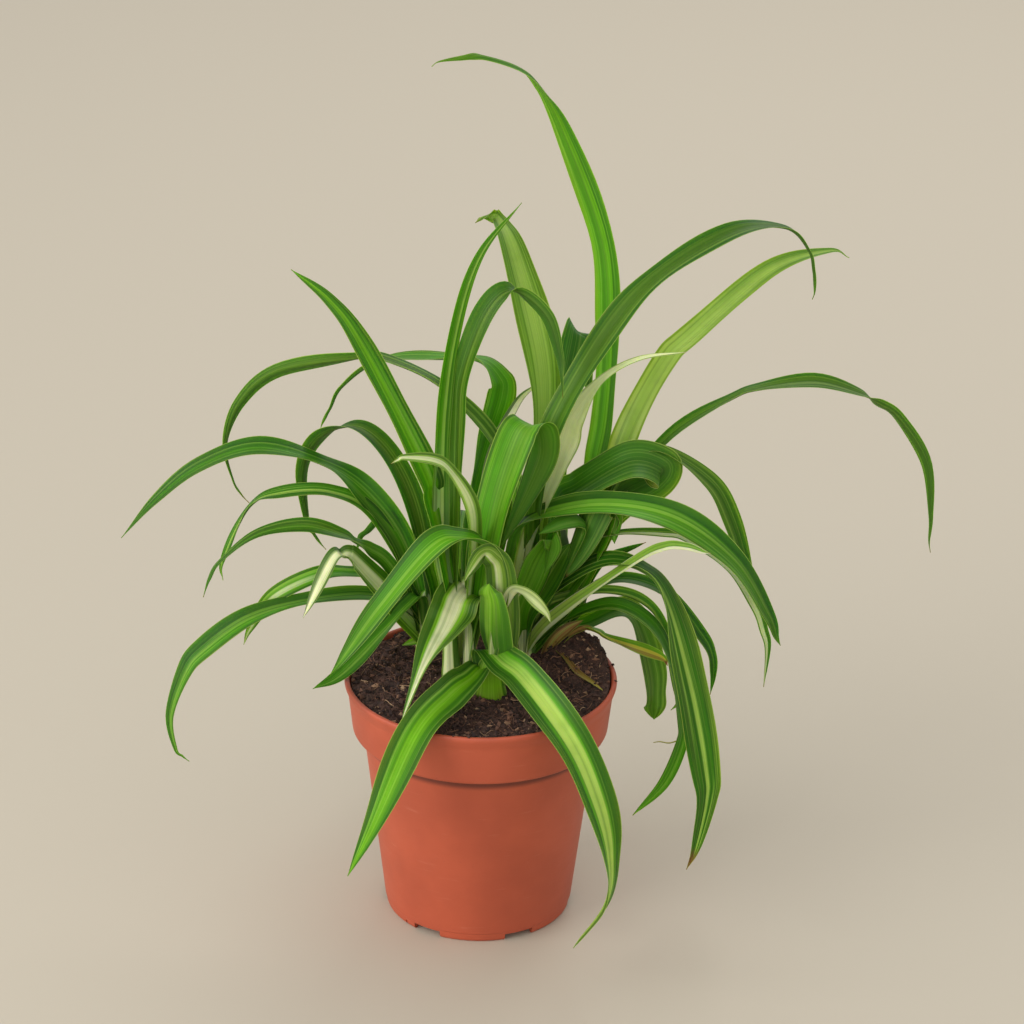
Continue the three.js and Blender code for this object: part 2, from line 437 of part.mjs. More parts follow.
// One leaf: the section is carried along the route and turned by the route's roll.
function makeLeaf(crown, leaf) {
  const heading = THREE.MathUtils.degToRad(leaf.heading);
  const outward = new THREE.Vector3(Math.cos(heading), Math.sin(heading), 0);
  const leftward = new THREE.Vector3(-Math.sin(heading), Math.cos(heading), 0);
  const foot = new THREE.Vector3(crown.at[0], crown.at[1], 0);
  const places = leaf.route.map(([out, up, , sway = 0]) => foot.clone()
    .addScaledVector(outward, out).addScaledVector(leftward, sway).setZ(up));
  const spine = new THREE.CatmullRomCurve3(places, false, 'catmullrom');
  const rolls = leaf.route.map(([, , roll]) => new THREE.Vector3(roll, 0, 0));
  const turn = new THREE.CatmullRomCurve3(rolls, false, 'catmullrom');
  const stretches = places.length - 1;
  const marks = [0];
  for (let i = 1; i <= stretches; i += 1) {
    if (places[i].distanceTo(places[i - 1]) > BLADE_STEP) marks.push((i - 0.5) / stretches);
    marks.push(i / stretches);
  }
  const centres = marks.map((mark) => spine.getPoint(mark));
  const rings = marks.length - 1;
  const reach = [0];
  for (let i = 1; i <= rings; i += 1) reach.push(reach[i - 1] + centres[i].distanceTo(centres[i - 1]));
  const corners = [];
  centres.forEach((centre, i) => {
    const s = reach[i] / reach[rings];
    const along = spine.getTangent(marks[i]);
    const level = leftward.clone().addScaledVector(along, -leftward.dot(along)).normalize();
    const across = level.applyAxisAngle(along, THREE.MathUtils.degToRad(turn.getPoint(marks[i]).x));
    const upper = new THREE.Vector3().crossVectors(along, across);
    const crease = CREASE_AT_BASE + (CREASE_AT_TIP - CREASE_AT_BASE) * s;
    bladeSection(bladeWidth(leaf, s), crease).forEach(([side, rise]) => {
      corners.push(...centre.clone().addScaledVector(across, side).addScaledVector(upper, rise).toArray());
    });
  });
  const geometry = new THREE.BufferGeometry();
  geometry.setAttribute('position', new THREE.Float32BufferAttribute(corners, 3));
  geometry.setIndex(sweptFaces(rings));
  return geometry;
}

// Triangles of a swept six-cornered section. Both faces of the blade are split along the same diagonals.
function sweptFaces(rings) {
  const faces = [];
  const quad = (i, a, b, leftSplit) => {
    const near = 6 * i;
    const far = near + 6;
    if (leftSplit) faces.push(near + a, near + b, far + b, near + a, far + b, far + a);
    else faces.push(near + a, near + b, far + a, near + b, far + b, far + a);
  };
  for (let i = 0; i < rings; i += 1) {
    quad(i, 1, 0, true);
    quad(i, 2, 1, true);
    quad(i, 3, 2, true);
    quad(i, 4, 3, false);
    quad(i, 5, 4, false);
    quad(i, 0, 5, false);
  }
  const last = 6 * rings;
  for (const [a, b, c] of [[0, 1, 4], [0, 4, 5], [1, 2, 3], [1, 3, 4]]) {
    faces.push(a, b, c);
    faces.push(last + a, last + c, last + b);
  }
  return faces;
}

// ---- Crowns ---------------------------------------------------------------------------------------------
// The sheathed stem that a crown's leaves grow from, with a round top.
function makeStem(crown) {
  const level = crown.level;
  return turned([
    [0, level - STEM_DEPTH],
    [STEM_RADIUS * 0.8, level - STEM_DEPTH],
    [STEM_RADIUS, level - STEM_DEPTH + 2],
    [STEM_RADIUS, level + STEM_RISE * 0.3],
    [STEM_RADIUS * 0.85, level + STEM_RISE * 0.7],
    [STEM_RADIUS * 0.4, level + STEM_RISE],
    [0, level + STEM_RISE],
  ], STEM_SIDES).translate(crown.at[0], crown.at[1], 0);
}

function makeStemHole(crown) {
  const depth = crown.level - STEM_DEPTH - FIT_GAP;
  const hole = new THREE.CylinderGeometry(1, 1, 60, 24).rotateX(Math.PI / 2);
  const radius = STEM_RADIUS + FIT_GAP;
  return toSolid(hole.scale(radius, radius, 1).translate(crown.at[0], crown.at[1], depth + 30));
}

// Leaf bases that wrap round each other can seal small hollows. Only the outer body is kept, so they fill.
function makeCrown(crown) {
  const leaves = crown.leaves.map((leaf) => toSolid(makeLeaf(crown, leaf)));
  const bodies = join([toSolid(makeStem(crown)), ...leaves]).decompose();
  return toGeometry(bodies.reduce((largest, body) => (body.volume() > largest.volume() ? body : largest)));
}

// ---- Assembly -------------------------------------------------------------------------------------------
const plant = new THREE.Group();

function addPiece(name, geometry, material) {
  const mesh = new THREE.Mesh(geometry, material);
  mesh.name = name;
  plant.add(mesh);
}

addPiece('pot', makePot(), terracottaPlastic);
addPiece('compost', makeSoil(Object.values(CROWNS).map(makeStemHole)), compost);
for (const [name, crown] of Object.entries(CROWNS)) {
  addPiece(`crown_${name}`, makeCrown(crown), leafGreen);
}

export default plant;
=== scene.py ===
import math
import random

import bpy
import bmesh
from mathutils import Matrix, Vector, noise


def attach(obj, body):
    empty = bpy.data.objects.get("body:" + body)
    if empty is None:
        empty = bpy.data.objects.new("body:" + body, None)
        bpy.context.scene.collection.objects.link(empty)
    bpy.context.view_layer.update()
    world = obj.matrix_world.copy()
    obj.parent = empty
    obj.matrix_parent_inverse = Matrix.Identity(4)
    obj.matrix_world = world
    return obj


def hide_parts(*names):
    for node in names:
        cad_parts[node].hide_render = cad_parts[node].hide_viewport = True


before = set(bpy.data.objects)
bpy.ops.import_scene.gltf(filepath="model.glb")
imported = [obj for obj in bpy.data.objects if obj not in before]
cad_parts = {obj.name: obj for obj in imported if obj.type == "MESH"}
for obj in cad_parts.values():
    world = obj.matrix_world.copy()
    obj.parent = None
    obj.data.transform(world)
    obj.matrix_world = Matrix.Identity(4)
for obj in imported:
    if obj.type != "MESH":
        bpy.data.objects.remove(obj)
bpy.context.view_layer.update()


# ---- View ---------------------------------------------------------------------------------------------
# A long lens looks down on the plant from straight in front at about 25 degrees, turned by under a degree.
view_lens = bpy.data.cameras.new("view")
view_lens.lens = 143.4
view_lens.sensor_width = 36
view = bpy.data.objects.new("view", view_lens)
bpy.context.collection.objects.link(view)
stand = Matrix.Translation((0.0126, -1.6, 0.9225))
look_down = Matrix.Rotation(math.radians(65.41), 4, "X")
lean = Matrix.Rotation(math.radians(0.89), 4, "Z")
view.matrix_world = stand @ look_down @ lean
bpy.context.scene.camera = view
bpy.context.scene.view_settings.view_transform = "Standard"


# ---- Studio -------------------------------------------------------------------------------------------
# A plain pale floor under soft light: a broad lamp on the left, a weak one in front, one high up behind,
# and an even white sky.
class Wire:
    """A socket of a material's node tree. Sums and products of wires add the Math nodes they need."""

    def __init__(self, tree, socket=None):
        self.tree = tree
        self.socket = socket

    def add(self, kind, settings=None, inputs=None, output=0):
        """Adds one node: its settings first, then the values or wires of its sockets. Returns an output."""
        node = self.tree.nodes.new(kind)
        for name, value in (settings or {}).items():
            if name == "stops":
                ramp = node.color_ramp
                while len(ramp.elements) < len(value):
                    ramp.elements.new(1.0)
                for stop, (place, colour) in zip(ramp.elements, value):
                    stop.position = place
                    stop.color = (*colour, 1.0)
            else:
                setattr(node, name, value)
        for name, value in (inputs or {}).items():
            if isinstance(name, int):
                socket = node.inputs[name]
            else:
                socket = next(s for s in node.inputs if name in (s.identifier, s.name) and s.enabled)
            if isinstance(value, Wire):
                self.tree.links.new(value.socket, socket)
            else:
                socket.default_value = value
        return Wire(self.tree, node.outputs[output])

    def math(self, operation, *values):
        return self.add("ShaderNodeMath", {"operation": operation}, dict(enumerate(values)))

    def __add__(self, other):
        return self.math("ADD", self, other)

    def __sub__(self, other):
        return self.math("SUBTRACT", self, other)

    def __mul__(self, other):
        return self.math("MULTIPLY", self, other)

    def __rsub__(self, other):
        return self.math("SUBTRACT", other, self)

    __radd__ = __add__
    __rmul__ = __mul__

    def step(self, low, high):
        """0 below low, 1 above high, smooth between."""
        return self.add("ShaderNodeMapRange", {"interpolation_type": "SMOOTHSTEP"},
                        {"Value": self, "From Min": low, "From Max": high})

    def mix(self, share, first, second):
        """A colour: first where share is 0, second where it is 1."""
        colours = [(*c, 1.0) if isinstance(c, tuple) else c for c in (first, second)]
        return self.add("ShaderNodeMix", {"data_type": "RGBA"},
                        {"Factor_Float": share, "A_Color": colours[0], "B_Color": colours[1]}, 2)

    def spots(self, where, scale, detail=2.0):
        """Noise from 0 to 1, scale to the metre."""
        return self.add("ShaderNodeTexNoise", {},
                        {"Vector": where, "Scale": scale, "Detail": detail, "Roughness": 0.55})


def finish_of(name, roughness):
    """A new material with its shader, and a wire to start its nodes from."""
    material = bpy.data.materials.new(name)
    material.use_nodes = True
    shader = material.node_tree.nodes["Principled BSDF"]
    shader.inputs["Roughness"].default_value = roughness
    return material, shader, Wire(material.node_tree)


def feed(value, shader, name):
    """Joins a wire to one of the shader's sockets."""
    value.tree.links.new(value.socket, shader.inputs[name])


def srgb(red, green, blue):
    """A colour as seen on a screen, 0 to 255, in the shader's own linear numbers."""
    return tuple(((c / 255 + 0.055) / 1.055) ** 2.4 if c > 10 else c / 3295 for c in (red, green, blue))


def place(name, vertices, faces, smooth=True):
    """Makes an object of a mesh and adds it to the scene."""
    mesh = bpy.data.meshes.new(name)
    mesh.from_pydata(vertices, [], faces)
    mesh.update()
    if smooth:
        mesh.shade_smooth()
    piece = bpy.data.objects.new(name, mesh)
    bpy.context.collection.objects.link(piece)
    return piece


floor_paint, floor_shader, _ = finish_of("floor_paint", 0.7)
floor_shader.inputs["Base Color"].default_value = (*srgb(192, 182, 163), 1)
floor = place("floor", [(-4, -3, 0), (4, -3, 0), (4, 6, 0), (-4, 6, 0)], [(0, 1, 2, 3)], smooth=False)
floor.data.materials.append(floor_paint)

LAMPS = (("key", (-1.7, -0.95, 0.9), 1.6, 29),      # place and width in metres, and power in watts
         ("fill", (-0.2, -1.8, 0.9), 1.2, 5),
         ("rim", (0.5, 1.3, 1.5), 1.0, 9))
LIT = Vector((0, 0, 0.15))      # the point that the lamps face
SKY_STRENGTH = 0.74
for lamp_name, where, size, watts in LAMPS:
    lamp = bpy.data.lights.new(lamp_name, "AREA")
    lamp.size = size
    lamp.energy = watts
    holder = bpy.data.objects.new(lamp_name, lamp)
    holder.location = where
    holder.rotation_euler = (LIT - holder.location).to_track_quat("-Z", "Y").to_euler()
    bpy.context.collection.objects.link(holder)

sky = bpy.data.worlds.new("studio")
sky.use_nodes = True
sky_light = sky.node_tree.nodes["Background"]
sky_light.inputs["Color"].default_value = (1, 1, 1, 1)
sky_light.inputs["Strength"].default_value = SKY_STRENGTH
bpy.context.scene.world = sky


# ---- Pot ----------------------------------------------------------------------------------------------
# A 12 cm nursery pot, one thin moulding of terracotta-coloured polypropylene: rolled lip, upright band with
# a ledge under it, tapered body, and a foot ring with six drain notches.
MM = 0.001
POT_SIDES = 168
POT_PROFILE = [      # radius, height and how far the corner is rounded, in millimetres
    (0, 0, 0), (27, 0, 0.4), (29, 2.6, 0.4), (37.6, 2.6, 0.4), (38.6, 0, 0.3), (40.2, 0, 0.3), (41, 1, 0.8),
    (41.4, 4.0, 0.2), (41.7, 4.3, 0.3), (51.45, 85.2, 0.9), (53.6, 86.0, 0.8), (56.3, 87.2, 1.2),
    (58.3, 104.8, 3), (59.3, 107.4, 1.5), (60, 109.4, 1), (59.7, 111, 0.7), (57.9, 111, 0.7),
    (57.5, 109.6, 0.8), (55.2, 88, 1), (50.2, 84, 1), (40.2, 5.7, 1), (37.6, 4.2, 0.4), (28, 4.2, 0.4),
    (26, 1.6, 0.4), (0, 1.6, 0)]
DRAINS = 6
DRAIN_TURN = -63                    # heading of the first notch, in degrees
NOTCH = (0.010, 0.0135, 0.0064)     # box that cuts a notch in the foot ring, in metres
NOTCH_AT = 0.041                    # its distance from the middle
HOLE = (0.004, 0.0095, 0.017)       # box that cuts the hole through the floor behind a notch
HOLE_AT = 0.034
SLIT = (0.010, 0.001, 0.0045)       # a thin moulding slit beside the front left notch
SLIT_TURN = -140
POT_SHARP = 40                      # corners turned by more degrees than this stay sharp


def rounded(profile, steps=4):
    """The profile with each corner replaced by a small curve."""
    points = []
    for i, (radius, height, round_off) in enumerate(profile):
        corner = Vector((radius, height))
        if not round_off:
            points.append(corner)
            continue
        before = Vector(profile[i - 1][:2]) - corner
        after = Vector(profile[i + 1][:2]) - corner
        reach = min(round_off, before.length * 0.45, after.length * 0.45)
        start = corner + before.normalized() * reach
        end = corner + after.normalized() * reach
        for k in range(steps + 1):
            t = k / steps
            points.append(start * (1 - t) ** 2 + corner * 2 * t * (1 - t) + end * t ** 2)
    return points


def ring(radius, height, sides):
    """A level ring of vertices, in metres, from a radius and a height in millimetres."""
    angles = [2 * math.pi * k / sides for k in range(sides)]
    return [(radius * MM * math.cos(angle), radius * MM * math.sin(angle), height * MM) for angle in angles]


def bands(first, rings, sides, downward=False):
    """The faces between rings of vertices that follow each other, upwards or else downwards."""
    faces = []
    for start in range(first, first + (rings - 1) * sides, sides):
        for k in range(sides):
            a = start + k
            b = start + (k + 1) % sides
            faces.append((a, a + sides, b + sides, b) if downward else (a, b, b + sides, a + sides))
    return faces


def turned(name, points, sides):
    """A closed profile turned round the upright axis. Its first and last points lie on the axis."""
    vertices = [(0, 0, points[0].y * MM), (0, 0, points[-1].y * MM)]
    inner = points[1:-1]
    for point in inner:
        vertices += ring(point.x, point.y, sides)
    faces = bands(2, len(inner), sides)
    last = 2 + (len(inner) - 1) * sides
    for k in range(sides):
        after = (k + 1) % sides
        faces.append((0, 2 + after, 2 + k))
        faces.append((1, last + k, last + after))
    return place(name, vertices, faces)


pot = turned("pot_shell", rounded(POT_PROFILE), POT_SIDES)

cutter_mesh = bmesh.new()


def cut_box(heading, centre, size):
    """Adds a box to the cutter, out from the middle at a heading in degrees."""
    turn = Matrix.Rotation(math.radians(heading), 4, "Z")
    box = turn @ Matrix.Translation((centre, 0, 0)) @ Matrix.Diagonal((*size, 1))
    bmesh.ops.create_cube(cutter_mesh, size=1, matrix=box)


for i in range(DRAINS):
    drain_turn = DRAIN_TURN + 360 * i / DRAINS
    cut_box(drain_turn, NOTCH_AT, NOTCH)
    cut_box(drain_turn, HOLE_AT, HOLE)
cut_box(SLIT_TURN, NOTCH_AT, SLIT)
cutter = place("drain_cutter", [], [])
cutter_mesh.to_mesh(cutter.data)
cutter_mesh.free()
cutting = pot.modifiers.new("drains", "BOOLEAN")
cutting.operation = "DIFFERENCE"
cutting.solver = "EXACT"
cutting.use_self = True
cutting.object = cutter
cut_pot = pot.evaluated_get(bpy.context.evaluated_depsgraph_get())
cut_mesh = bpy.data.meshes.new_from_object(cut_pot)
pot.modifiers.clear()
pot.data = cut_mesh
bpy.data.objects.remove(cutter)
pot.data.set_sharp_from_angle(angle=math.radians(POT_SHARP))

# Between these heights the body is darkened: painted shade, standing in for the shadow under the band's
# overhang.
SHADE_BEGINS = (0.0808, 0.0838)     # heights, in metres, between which the body darkens towards the band
SHADE_ENDS = (0.0862, 0.0870)
SOILED_FROM = (0.107, 0.1115)       # heights between which damp soil starts to stain the lip

plastic, shader, wire = finish_of("terracotta_plastic", 0.5)
spot = wire.add("ShaderNodeTexCoord", output=3)
height = wire.add("ShaderNodeSeparateXYZ", {}, {"Vector": spot}, 2)
clouds = wire.spots(spot, 28, 3)
specks = wire.spots(spot, 900, 2)
moulded = wire.mix(clouds.step(0.3, 0.75), srgb(186, 84, 54), srgb(172, 76, 48))
flecked = wire.mix(specks.step(0.66, 0.74) * 0.25, moulded, srgb(150, 70, 48))
scuffs = wire.spots(wire.add("ShaderNodeMapping", {}, {"Vector": spot, "Scale": (1, 1, 9)}), 60, 4)
dusty = wire.mix(scuffs.step(0.62, 0.8) * 0.16, flecked, srgb(214, 150, 120))
# painted shade: the body darkens just below the overhanging band, in place of the shadow that falls there
painted_shade_under_band = height.step(*SHADE_BEGINS) * (1 - height.step(*SHADE_ENDS))
shaded = wire.mix(painted_shade_under_band * 0.8, dusty, srgb(84, 34, 22))
soiled = wire.mix(height.step(*SOILED_FROM) * clouds.step(0.45, 0.6) * 0.35, shaded, srgb(92, 52, 38))
feed(soiled, shader, "Base Color")
feed(0.44 + 0.12 * clouds + 0.1 * scuffs, shader, "Roughness")
grain = wire.add("ShaderNodeBump", {}, {"Strength": 0.18, "Distance": 0.0004,
                                        "Height": specks * 0.4 + wire.spots(spot, 130, 3)})
feed(grain, shader, "Normal")
pot.data.materials.clear()
pot.data.materials.append(plastic)
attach(pot, "root")
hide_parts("pot")


# ---- Compost ------------------------------------------------------------------------------------------
# Damp fibrous peat, pressed in by hand: it fills the pot, lies a little lower at the front, and is heaped
# against the wall at the right, in front of the rear crown. Crumbs, a few of them pale chips, and root
# fibres lie loose all over it.
SOIL_EDGE = 56.9                # radius of its surface, in millimetres
SOIL_LEVEL = 109
SOIL_SLOPE = 0.03
LOOSE_AT_WALL = 0.35            # share of the slope and lumps left where the bed meets the wall
LOOSE_WIDTH = 9                 # how far in from the wall they grow to their full size
HEAP = (43, 19, 12.5, 11)       # x, y, height and spread
SOIL_RINGS = 74
SOIL_SIDES = 230
SOIL_FOOT = 4.6
SOIL_WALL = [(56.3, 104), (54.6, 88.6), (49.4, 83.5), (40, 6.5), (38, SOIL_FOOT)]     # radius and height


def soil_height(x, y):
    """Height of the compost's surface in millimetres, without the loose crumbs and fibres."""
    from_heap = math.hypot(x - HEAP[0], y - HEAP[1])
    heap = HEAP[2] * math.exp(-from_heap ** 2 / (2 * HEAP[3] ** 2))
    lumps = 0.7 * (math.sin(0.31 * x + 1) * math.cos(0.27 * y) + 0.6 * math.sin(0.55 * (x + y)))
    rough = 1.0 * noise.noise(Vector((x, y, 0)) * 0.23) + 0.75 * noise.noise(Vector((x, y, 5)) * 0.55)
    fine = 0.45 * noise.noise(Vector((x, y, 9)) * 1.3)
    inside = min(1, max(0, (SOIL_EDGE - math.hypot(x, y)) / LOOSE_WIDTH))
    loose = LOOSE_AT_WALL + (1 - LOOSE_AT_WALL) * inside
    return SOIL_LEVEL + heap + loose * (SOIL_SLOPE * y + lumps) + rough + fine


bed_vertices = [(0, 0, soil_height(0, 0) * MM)]
for i in range(1, SOIL_RINGS + 1):
    radius = SOIL_EDGE * i / SOIL_RINGS
    for k in range(SOIL_SIDES):
        angle = 2 * math.pi * k / SOIL_SIDES
        x, y = radius * math.cos(angle), radius * math.sin(angle)
        bed_vertices.append((x * MM, y * MM, soil_height(x, y) * MM))
for radius, z in SOIL_WALL:
    bed_vertices += ring(radius, z, SOIL_SIDES)
bed_vertices.append((0, 0, SOIL_FOOT * MM))
bed_faces = [(0, 1 + k, 1 + (k + 1) % SOIL_SIDES) for k in range(SOIL_SIDES)]
rows = SOIL_RINGS + len(SOIL_WALL)
bed_faces += bands(1, rows, SOIL_SIDES, downward=True)
under = 1 + (rows - 1) * SOIL_SIDES
for k in range(SOIL_SIDES):
    bed_faces.append((len(bed_vertices) - 1, under + (k + 1) % SOIL_SIDES, under + k))
bed = place("compost_bed", bed_vertices, bed_faces)

peat, shader, wire = finish_of("damp_peat", 0.9)
spot = wire.add("ShaderNodeTexCoord", output=3)
clumps = wire.spots(spot, 160, 5)
grit = wire.spots(spot, 900, 3)
damp = wire.mix(clumps.step(0.3, 0.7), srgb(44, 28, 22), srgb(80, 54, 42))
feed(wire.mix(grit.step(0.55, 0.72) * 0.6, damp, srgb(112, 82, 64)), shader, "Base Color")
crumbly = wire.add("ShaderNodeBump", {}, {"Strength": 0.9, "Distance": 0.0012,
                                          "Height": clumps + 0.5 * grit})
feed(crumbly, shader, "Normal")
bed.data.materials.append(peat)
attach(bed, "root")
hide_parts("compost")

CRUMBS = 5200
RIM_CRUMBS = [(-4.4, -58.7, 111.2), (-11, -57.6, 110.9), (3, -57.6, 110.8),       # five lie on the lip
              (59.2, -4, 111.3), (58.2, 12, 111.2)]
CRUMB_SMALLEST = 0.35           # half sizes in millimetres
CRUMB_SPREAD = 1.1
CRUMB_CORNERS = ((1, 0, 0), (0, 1, 0), (-1, 0, 0), (0, -1, 0), (0, 0, 1), (0, 0, -1))
FIBRES = 900
FIBRE_STEPS = 3
WHOLE_TURN = 6.28
chance = random.Random(11)


def on_soil(reach):
    """A spot on the compost, spread evenly, and the height there."""
    radius = reach * math.sqrt(chance.random())
    angle = 2 * math.pi * chance.random()
    x, y = radius * math.cos(angle), radius * math.sin(angle)
    return Vector((x, y, soil_height(x, y)))


crumb_vertices = []
crumb_faces = []
crumb_shades = []
for i in range(CRUMBS + len(RIM_CRUMBS)):
    spot_on_bed = on_soil(SOIL_EDGE - 0.5) if i < CRUMBS else Vector(RIM_CRUMBS[i - CRUMBS])
    size = CRUMB_SMALLEST + CRUMB_SPREAD * chance.random() ** 3
    twist = WHOLE_TURN * chance.random()
    turn = Matrix.Rotation(twist, 3, Vector((chance.random(), chance.random(), 1)).normalized())
    stretch = Vector((1 + 0.9 * chance.random(), 1, 0.55 + 0.4 * chance.random()))
    first = len(crumb_vertices)
    shade = chance.random()
    for corner in CRUMB_CORNERS:
        uneven = Vector(corner) * size * (0.7 + 0.6 * chance.random()) * stretch
        crumb_vertices.append((spot_on_bed + turn @ uneven + Vector((0, 0, 0.25 * size))) * MM)
        crumb_shades.append(shade)
    for a, b in ((0, 1), (1, 2), (2, 3), (3, 0)):
        crumb_faces.append((first + a, first + b, first + 4))
        crumb_faces.append((first + b, first + a, first + 5))
for _ in range(FIBRES):
    here = on_soil(SOIL_EDGE - 3)
    heading = WHOLE_TURN * chance.random()
    length = 2 + 6 * chance.random()
    half = 0.09 + 0.12 * chance.random()
    shade = 0.55 + 0.45 * chance.random()
    first = len(crumb_vertices)
    for k in range(FIBRE_STEPS + 1):
        step = Vector((math.cos(heading), math.sin(heading), 0)) * (length / FIBRE_STEPS)
        lift = 0.3 + 0.7 * math.sin(math.pi * k / FIBRE_STEPS) * chance.random()
        centre = Vector((here.x, here.y, soil_height(here.x, here.y) + lift))
        side = Vector((-math.sin(heading), math.cos(heading), 0)) * half
        for offset in (side, -side, Vector((0, 0, 1.5 * half))):
            crumb_vertices.append((centre + offset) * MM)
            crumb_shades.append(shade)
        here = here + step
        if math.hypot(here.x, here.y) > SOIL_EDGE - 1:
            here = here - step
        heading += 0.9 * (chance.random() - 0.5)
    for k in range(FIBRE_STEPS):
        for a, b in ((0, 1), (1, 2), (2, 0)):
            near, far = first + 3 * k, first + 3 * k + 3
            crumb_faces.append((near + a, near + b, far + b, far + a))
    crumb_faces.append((first, first + 2, first + 1))
    last = first + 3 * FIBRE_STEPS
    crumb_faces.append((last, last + 1, last + 2))
crumbs = place("peat_crumbs", crumb_vertices, crumb_faces, smooth=False)
crumbs.data.attributes.new("shade", "FLOAT", "POINT").data.foreach_set("value", crumb_shades)

crumb_peat, shader, wire = finish_of("peat_crumb", 0.92)
shade = wire.add("ShaderNodeAttribute", {"attribute_name": "shade"}, output=2)
stops = [(0, srgb(38, 24, 20)), (0.45, srgb(74, 50, 41)), (0.8, srgb(98, 68, 53)),
         (0.93, srgb(140, 98, 72)), (1, srgb(186, 152, 116))]
toned = wire.add("ShaderNodeValToRGB", {"stops": stops}, {"Fac": shade})
grit = wire.spots(wire.add("ShaderNodeTexCoord", output=3), 1500, 2)
feed(wire.mix(grit * 0.5, toned, srgb(40, 26, 21)), shader, "Base Color")
crumbs.data.materials.append(crumb_peat)
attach(crumbs, "root")


# ---- Front crown --------------------------------------------------------------------------------------
# A smooth yellow-green bulb of overlapping sheaths that stands in the compost, with three broad leaves
# that arch out over the rim and three short ones. Leaves are thin, channelled and satin, striped
# lengthways, with a fine pale edge, a duller underside and often a dry tip.
TONES = {
    # ivory is lighter than any leaf's own colour: painted light, standing in for light shining through a
    # pale leaf that stands in shade
    "ivory": srgb(242, 255, 180),
    "cream": srgb(232, 236, 184),
    "pale": srgb(176, 204, 92),
    "lime": srgb(124, 184, 16),
    "bright": srgb(80, 146, 10),
    "soft": srgb(112, 148, 40),
    "mid": srgb(56, 110, 12),
    "olive": srgb(72, 106, 14),
    "dark": srgb(32, 72, 10),
    "grey": srgb(78, 108, 46),
    "yellow": srgb(190, 176, 52),
    "straw": srgb(168, 122, 70),
    "brown": srgb(112, 70, 38),
}
ALONG = 96                 # faces along a leaf
ACROSS = 12                # faces across it
WIDEST_AT = 0.45           # share of the length where a blade is widest
TIP_WIDTH = 0.35           # the least width of a blade, in millimetres
CREASE_AT_BASE = 0.42      # rise of the edges over the midrib, as a share of half the width
CREASE_AT_TIP = 0.14
FOLD_SOFT = 0.012          # rounds the fold along the midrib
FOLD_LOW = 0.11            # what the rounding adds at the midrib
FOLD_SPAN = 0.896          # what is left from the midrib to the edge
WAVE = 0.05                # rise and fall of the edges, as a share of the width
WAVE_PACE = 0.11           # in radians to the millimetre
RIB_THICKNESS = 0.7        # in millimetres
EDGE_THICKNESS = 0.18
FULL_FROM = 3              # a blade narrower than this is thinner too
THINNEST = 0.35            # share of the thickness left at the tip
LEAF_SHARP = 60            # corners turned by more degrees than this stay sharp

STRIPES_PER_METRE = 430
VEINS_PER_METRE = 1150
WRINKLES_PER_METRE = 900

leaf_skin, shader, wire = finish_of("leaf_skin", 0.4)
shader.inputs["Specular IOR Level"].default_value = 0.18
shader.inputs["Subsurface Weight"].default_value = 0.4
shader.inputs["Subsurface Radius"].default_value = (0.6, 1, 0.15)
shader.inputs["Subsurface Scale"].default_value = 0.003


def read(name, output=2):
    """A number that each vertex carries, or with output 0 a colour."""
    return wire.add("ShaderNodeAttribute", {"attribute_name": name}, output=output)


u = read("across")
side = read("side")
along = read("along")
run = read("run")
seed = read("seed")
lines = read("lines")
drift = wire.add("ShaderNodeCombineXYZ", {}, {"X": run * 22, "Y": seed * 7.3})
waver = wire.spots(drift, 1, 1) - 0.5
across = u + 0.1 * waver
striped_at = side * STRIPES_PER_METRE + waver * 0.4 + seed * 11.7
strip = wire.add("ShaderNodeCombineXYZ", {}, {"X": striped_at, "Y": run * 4, "Z": seed})
stripes = wire.spots(strip, 1, 1)
veined_at = side * VEINS_PER_METRE + seed * 5
hair = wire.add("ShaderNodeCombineXYZ", {}, {"X": veined_at, "Y": run * 7, "Z": seed})
veins = wire.spots(hair, 1, 1)
creases = wire.add("ShaderNodeCombineXYZ", {}, {"X": side * 160, "Y": run * WRINKLES_PER_METRE, "Z": seed})
wrinkles = wire.spots(creases, 1, 2)
from_core = wire.math("ABSOLUTE", across - read("core_at"))
core_half = read("core_half")
core_from = read("core_from")
beside_core = from_core.step(core_half - 0.07, core_half + 0.09)
in_core = (1 - beside_core) * along.step(core_from - 0.12, core_from + 0.12)
margin_from = read("margin_from")
ragged = margin_from - 0.07 + 0.3 * (stripes - 0.5)
in_margin = wire.math("ABSOLUTE", across).step(ragged, margin_from + 0.05)
tone = read("tone", 0)
core_share = in_core * read("core_strength")
with_core = wire.mix(core_share * (0.6 + 0.7 * stripes), tone, read("core_tone", 0))
with_pale = wire.mix(stripes.step(0.56, 0.62) * lines * 0.6, with_core, TONES["pale"])
dark_lines = (1 - stripes.step(0.37, 0.43)) * lines * (0.75 - 0.5 * core_share)
with_dark = wire.mix(dark_lines, with_pale, TONES["dark"])
with_margin = wire.mix(in_margin * 0.85, with_dark, read("margin_tone", 0))
dark_veins = (1 - veins.step(0.36, 0.52)) * (0.34 - 0.26 * core_share)
veined = wire.mix(dark_veins, with_margin, TONES["dark"])
lit_veins = wire.mix(veins.step(0.54, 0.68) * 0.16, veined, TONES["pale"])
edged = wire.mix(wire.math("ABSOLUTE", u).step(0.95, 0.985) * 0.4, lit_veins, TONES["pale"])
blotches = wire.spots(wire.add("ShaderNodeTexCoord", output=3), 70, 3)
mottled = wire.mix(blotches.step(0.45, 0.75) * 0.2, edged, TONES["olive"])
below = wire.mix(read("under") * 0.22, mottled, TONES["grey"])
dry_from = read("dry_from")
dried = wire.mix(along.step(dry_from, dry_from + 0.02 + 0.03 * stripes), below, TONES["brown"])
feed(dried, shader, "Base Color")
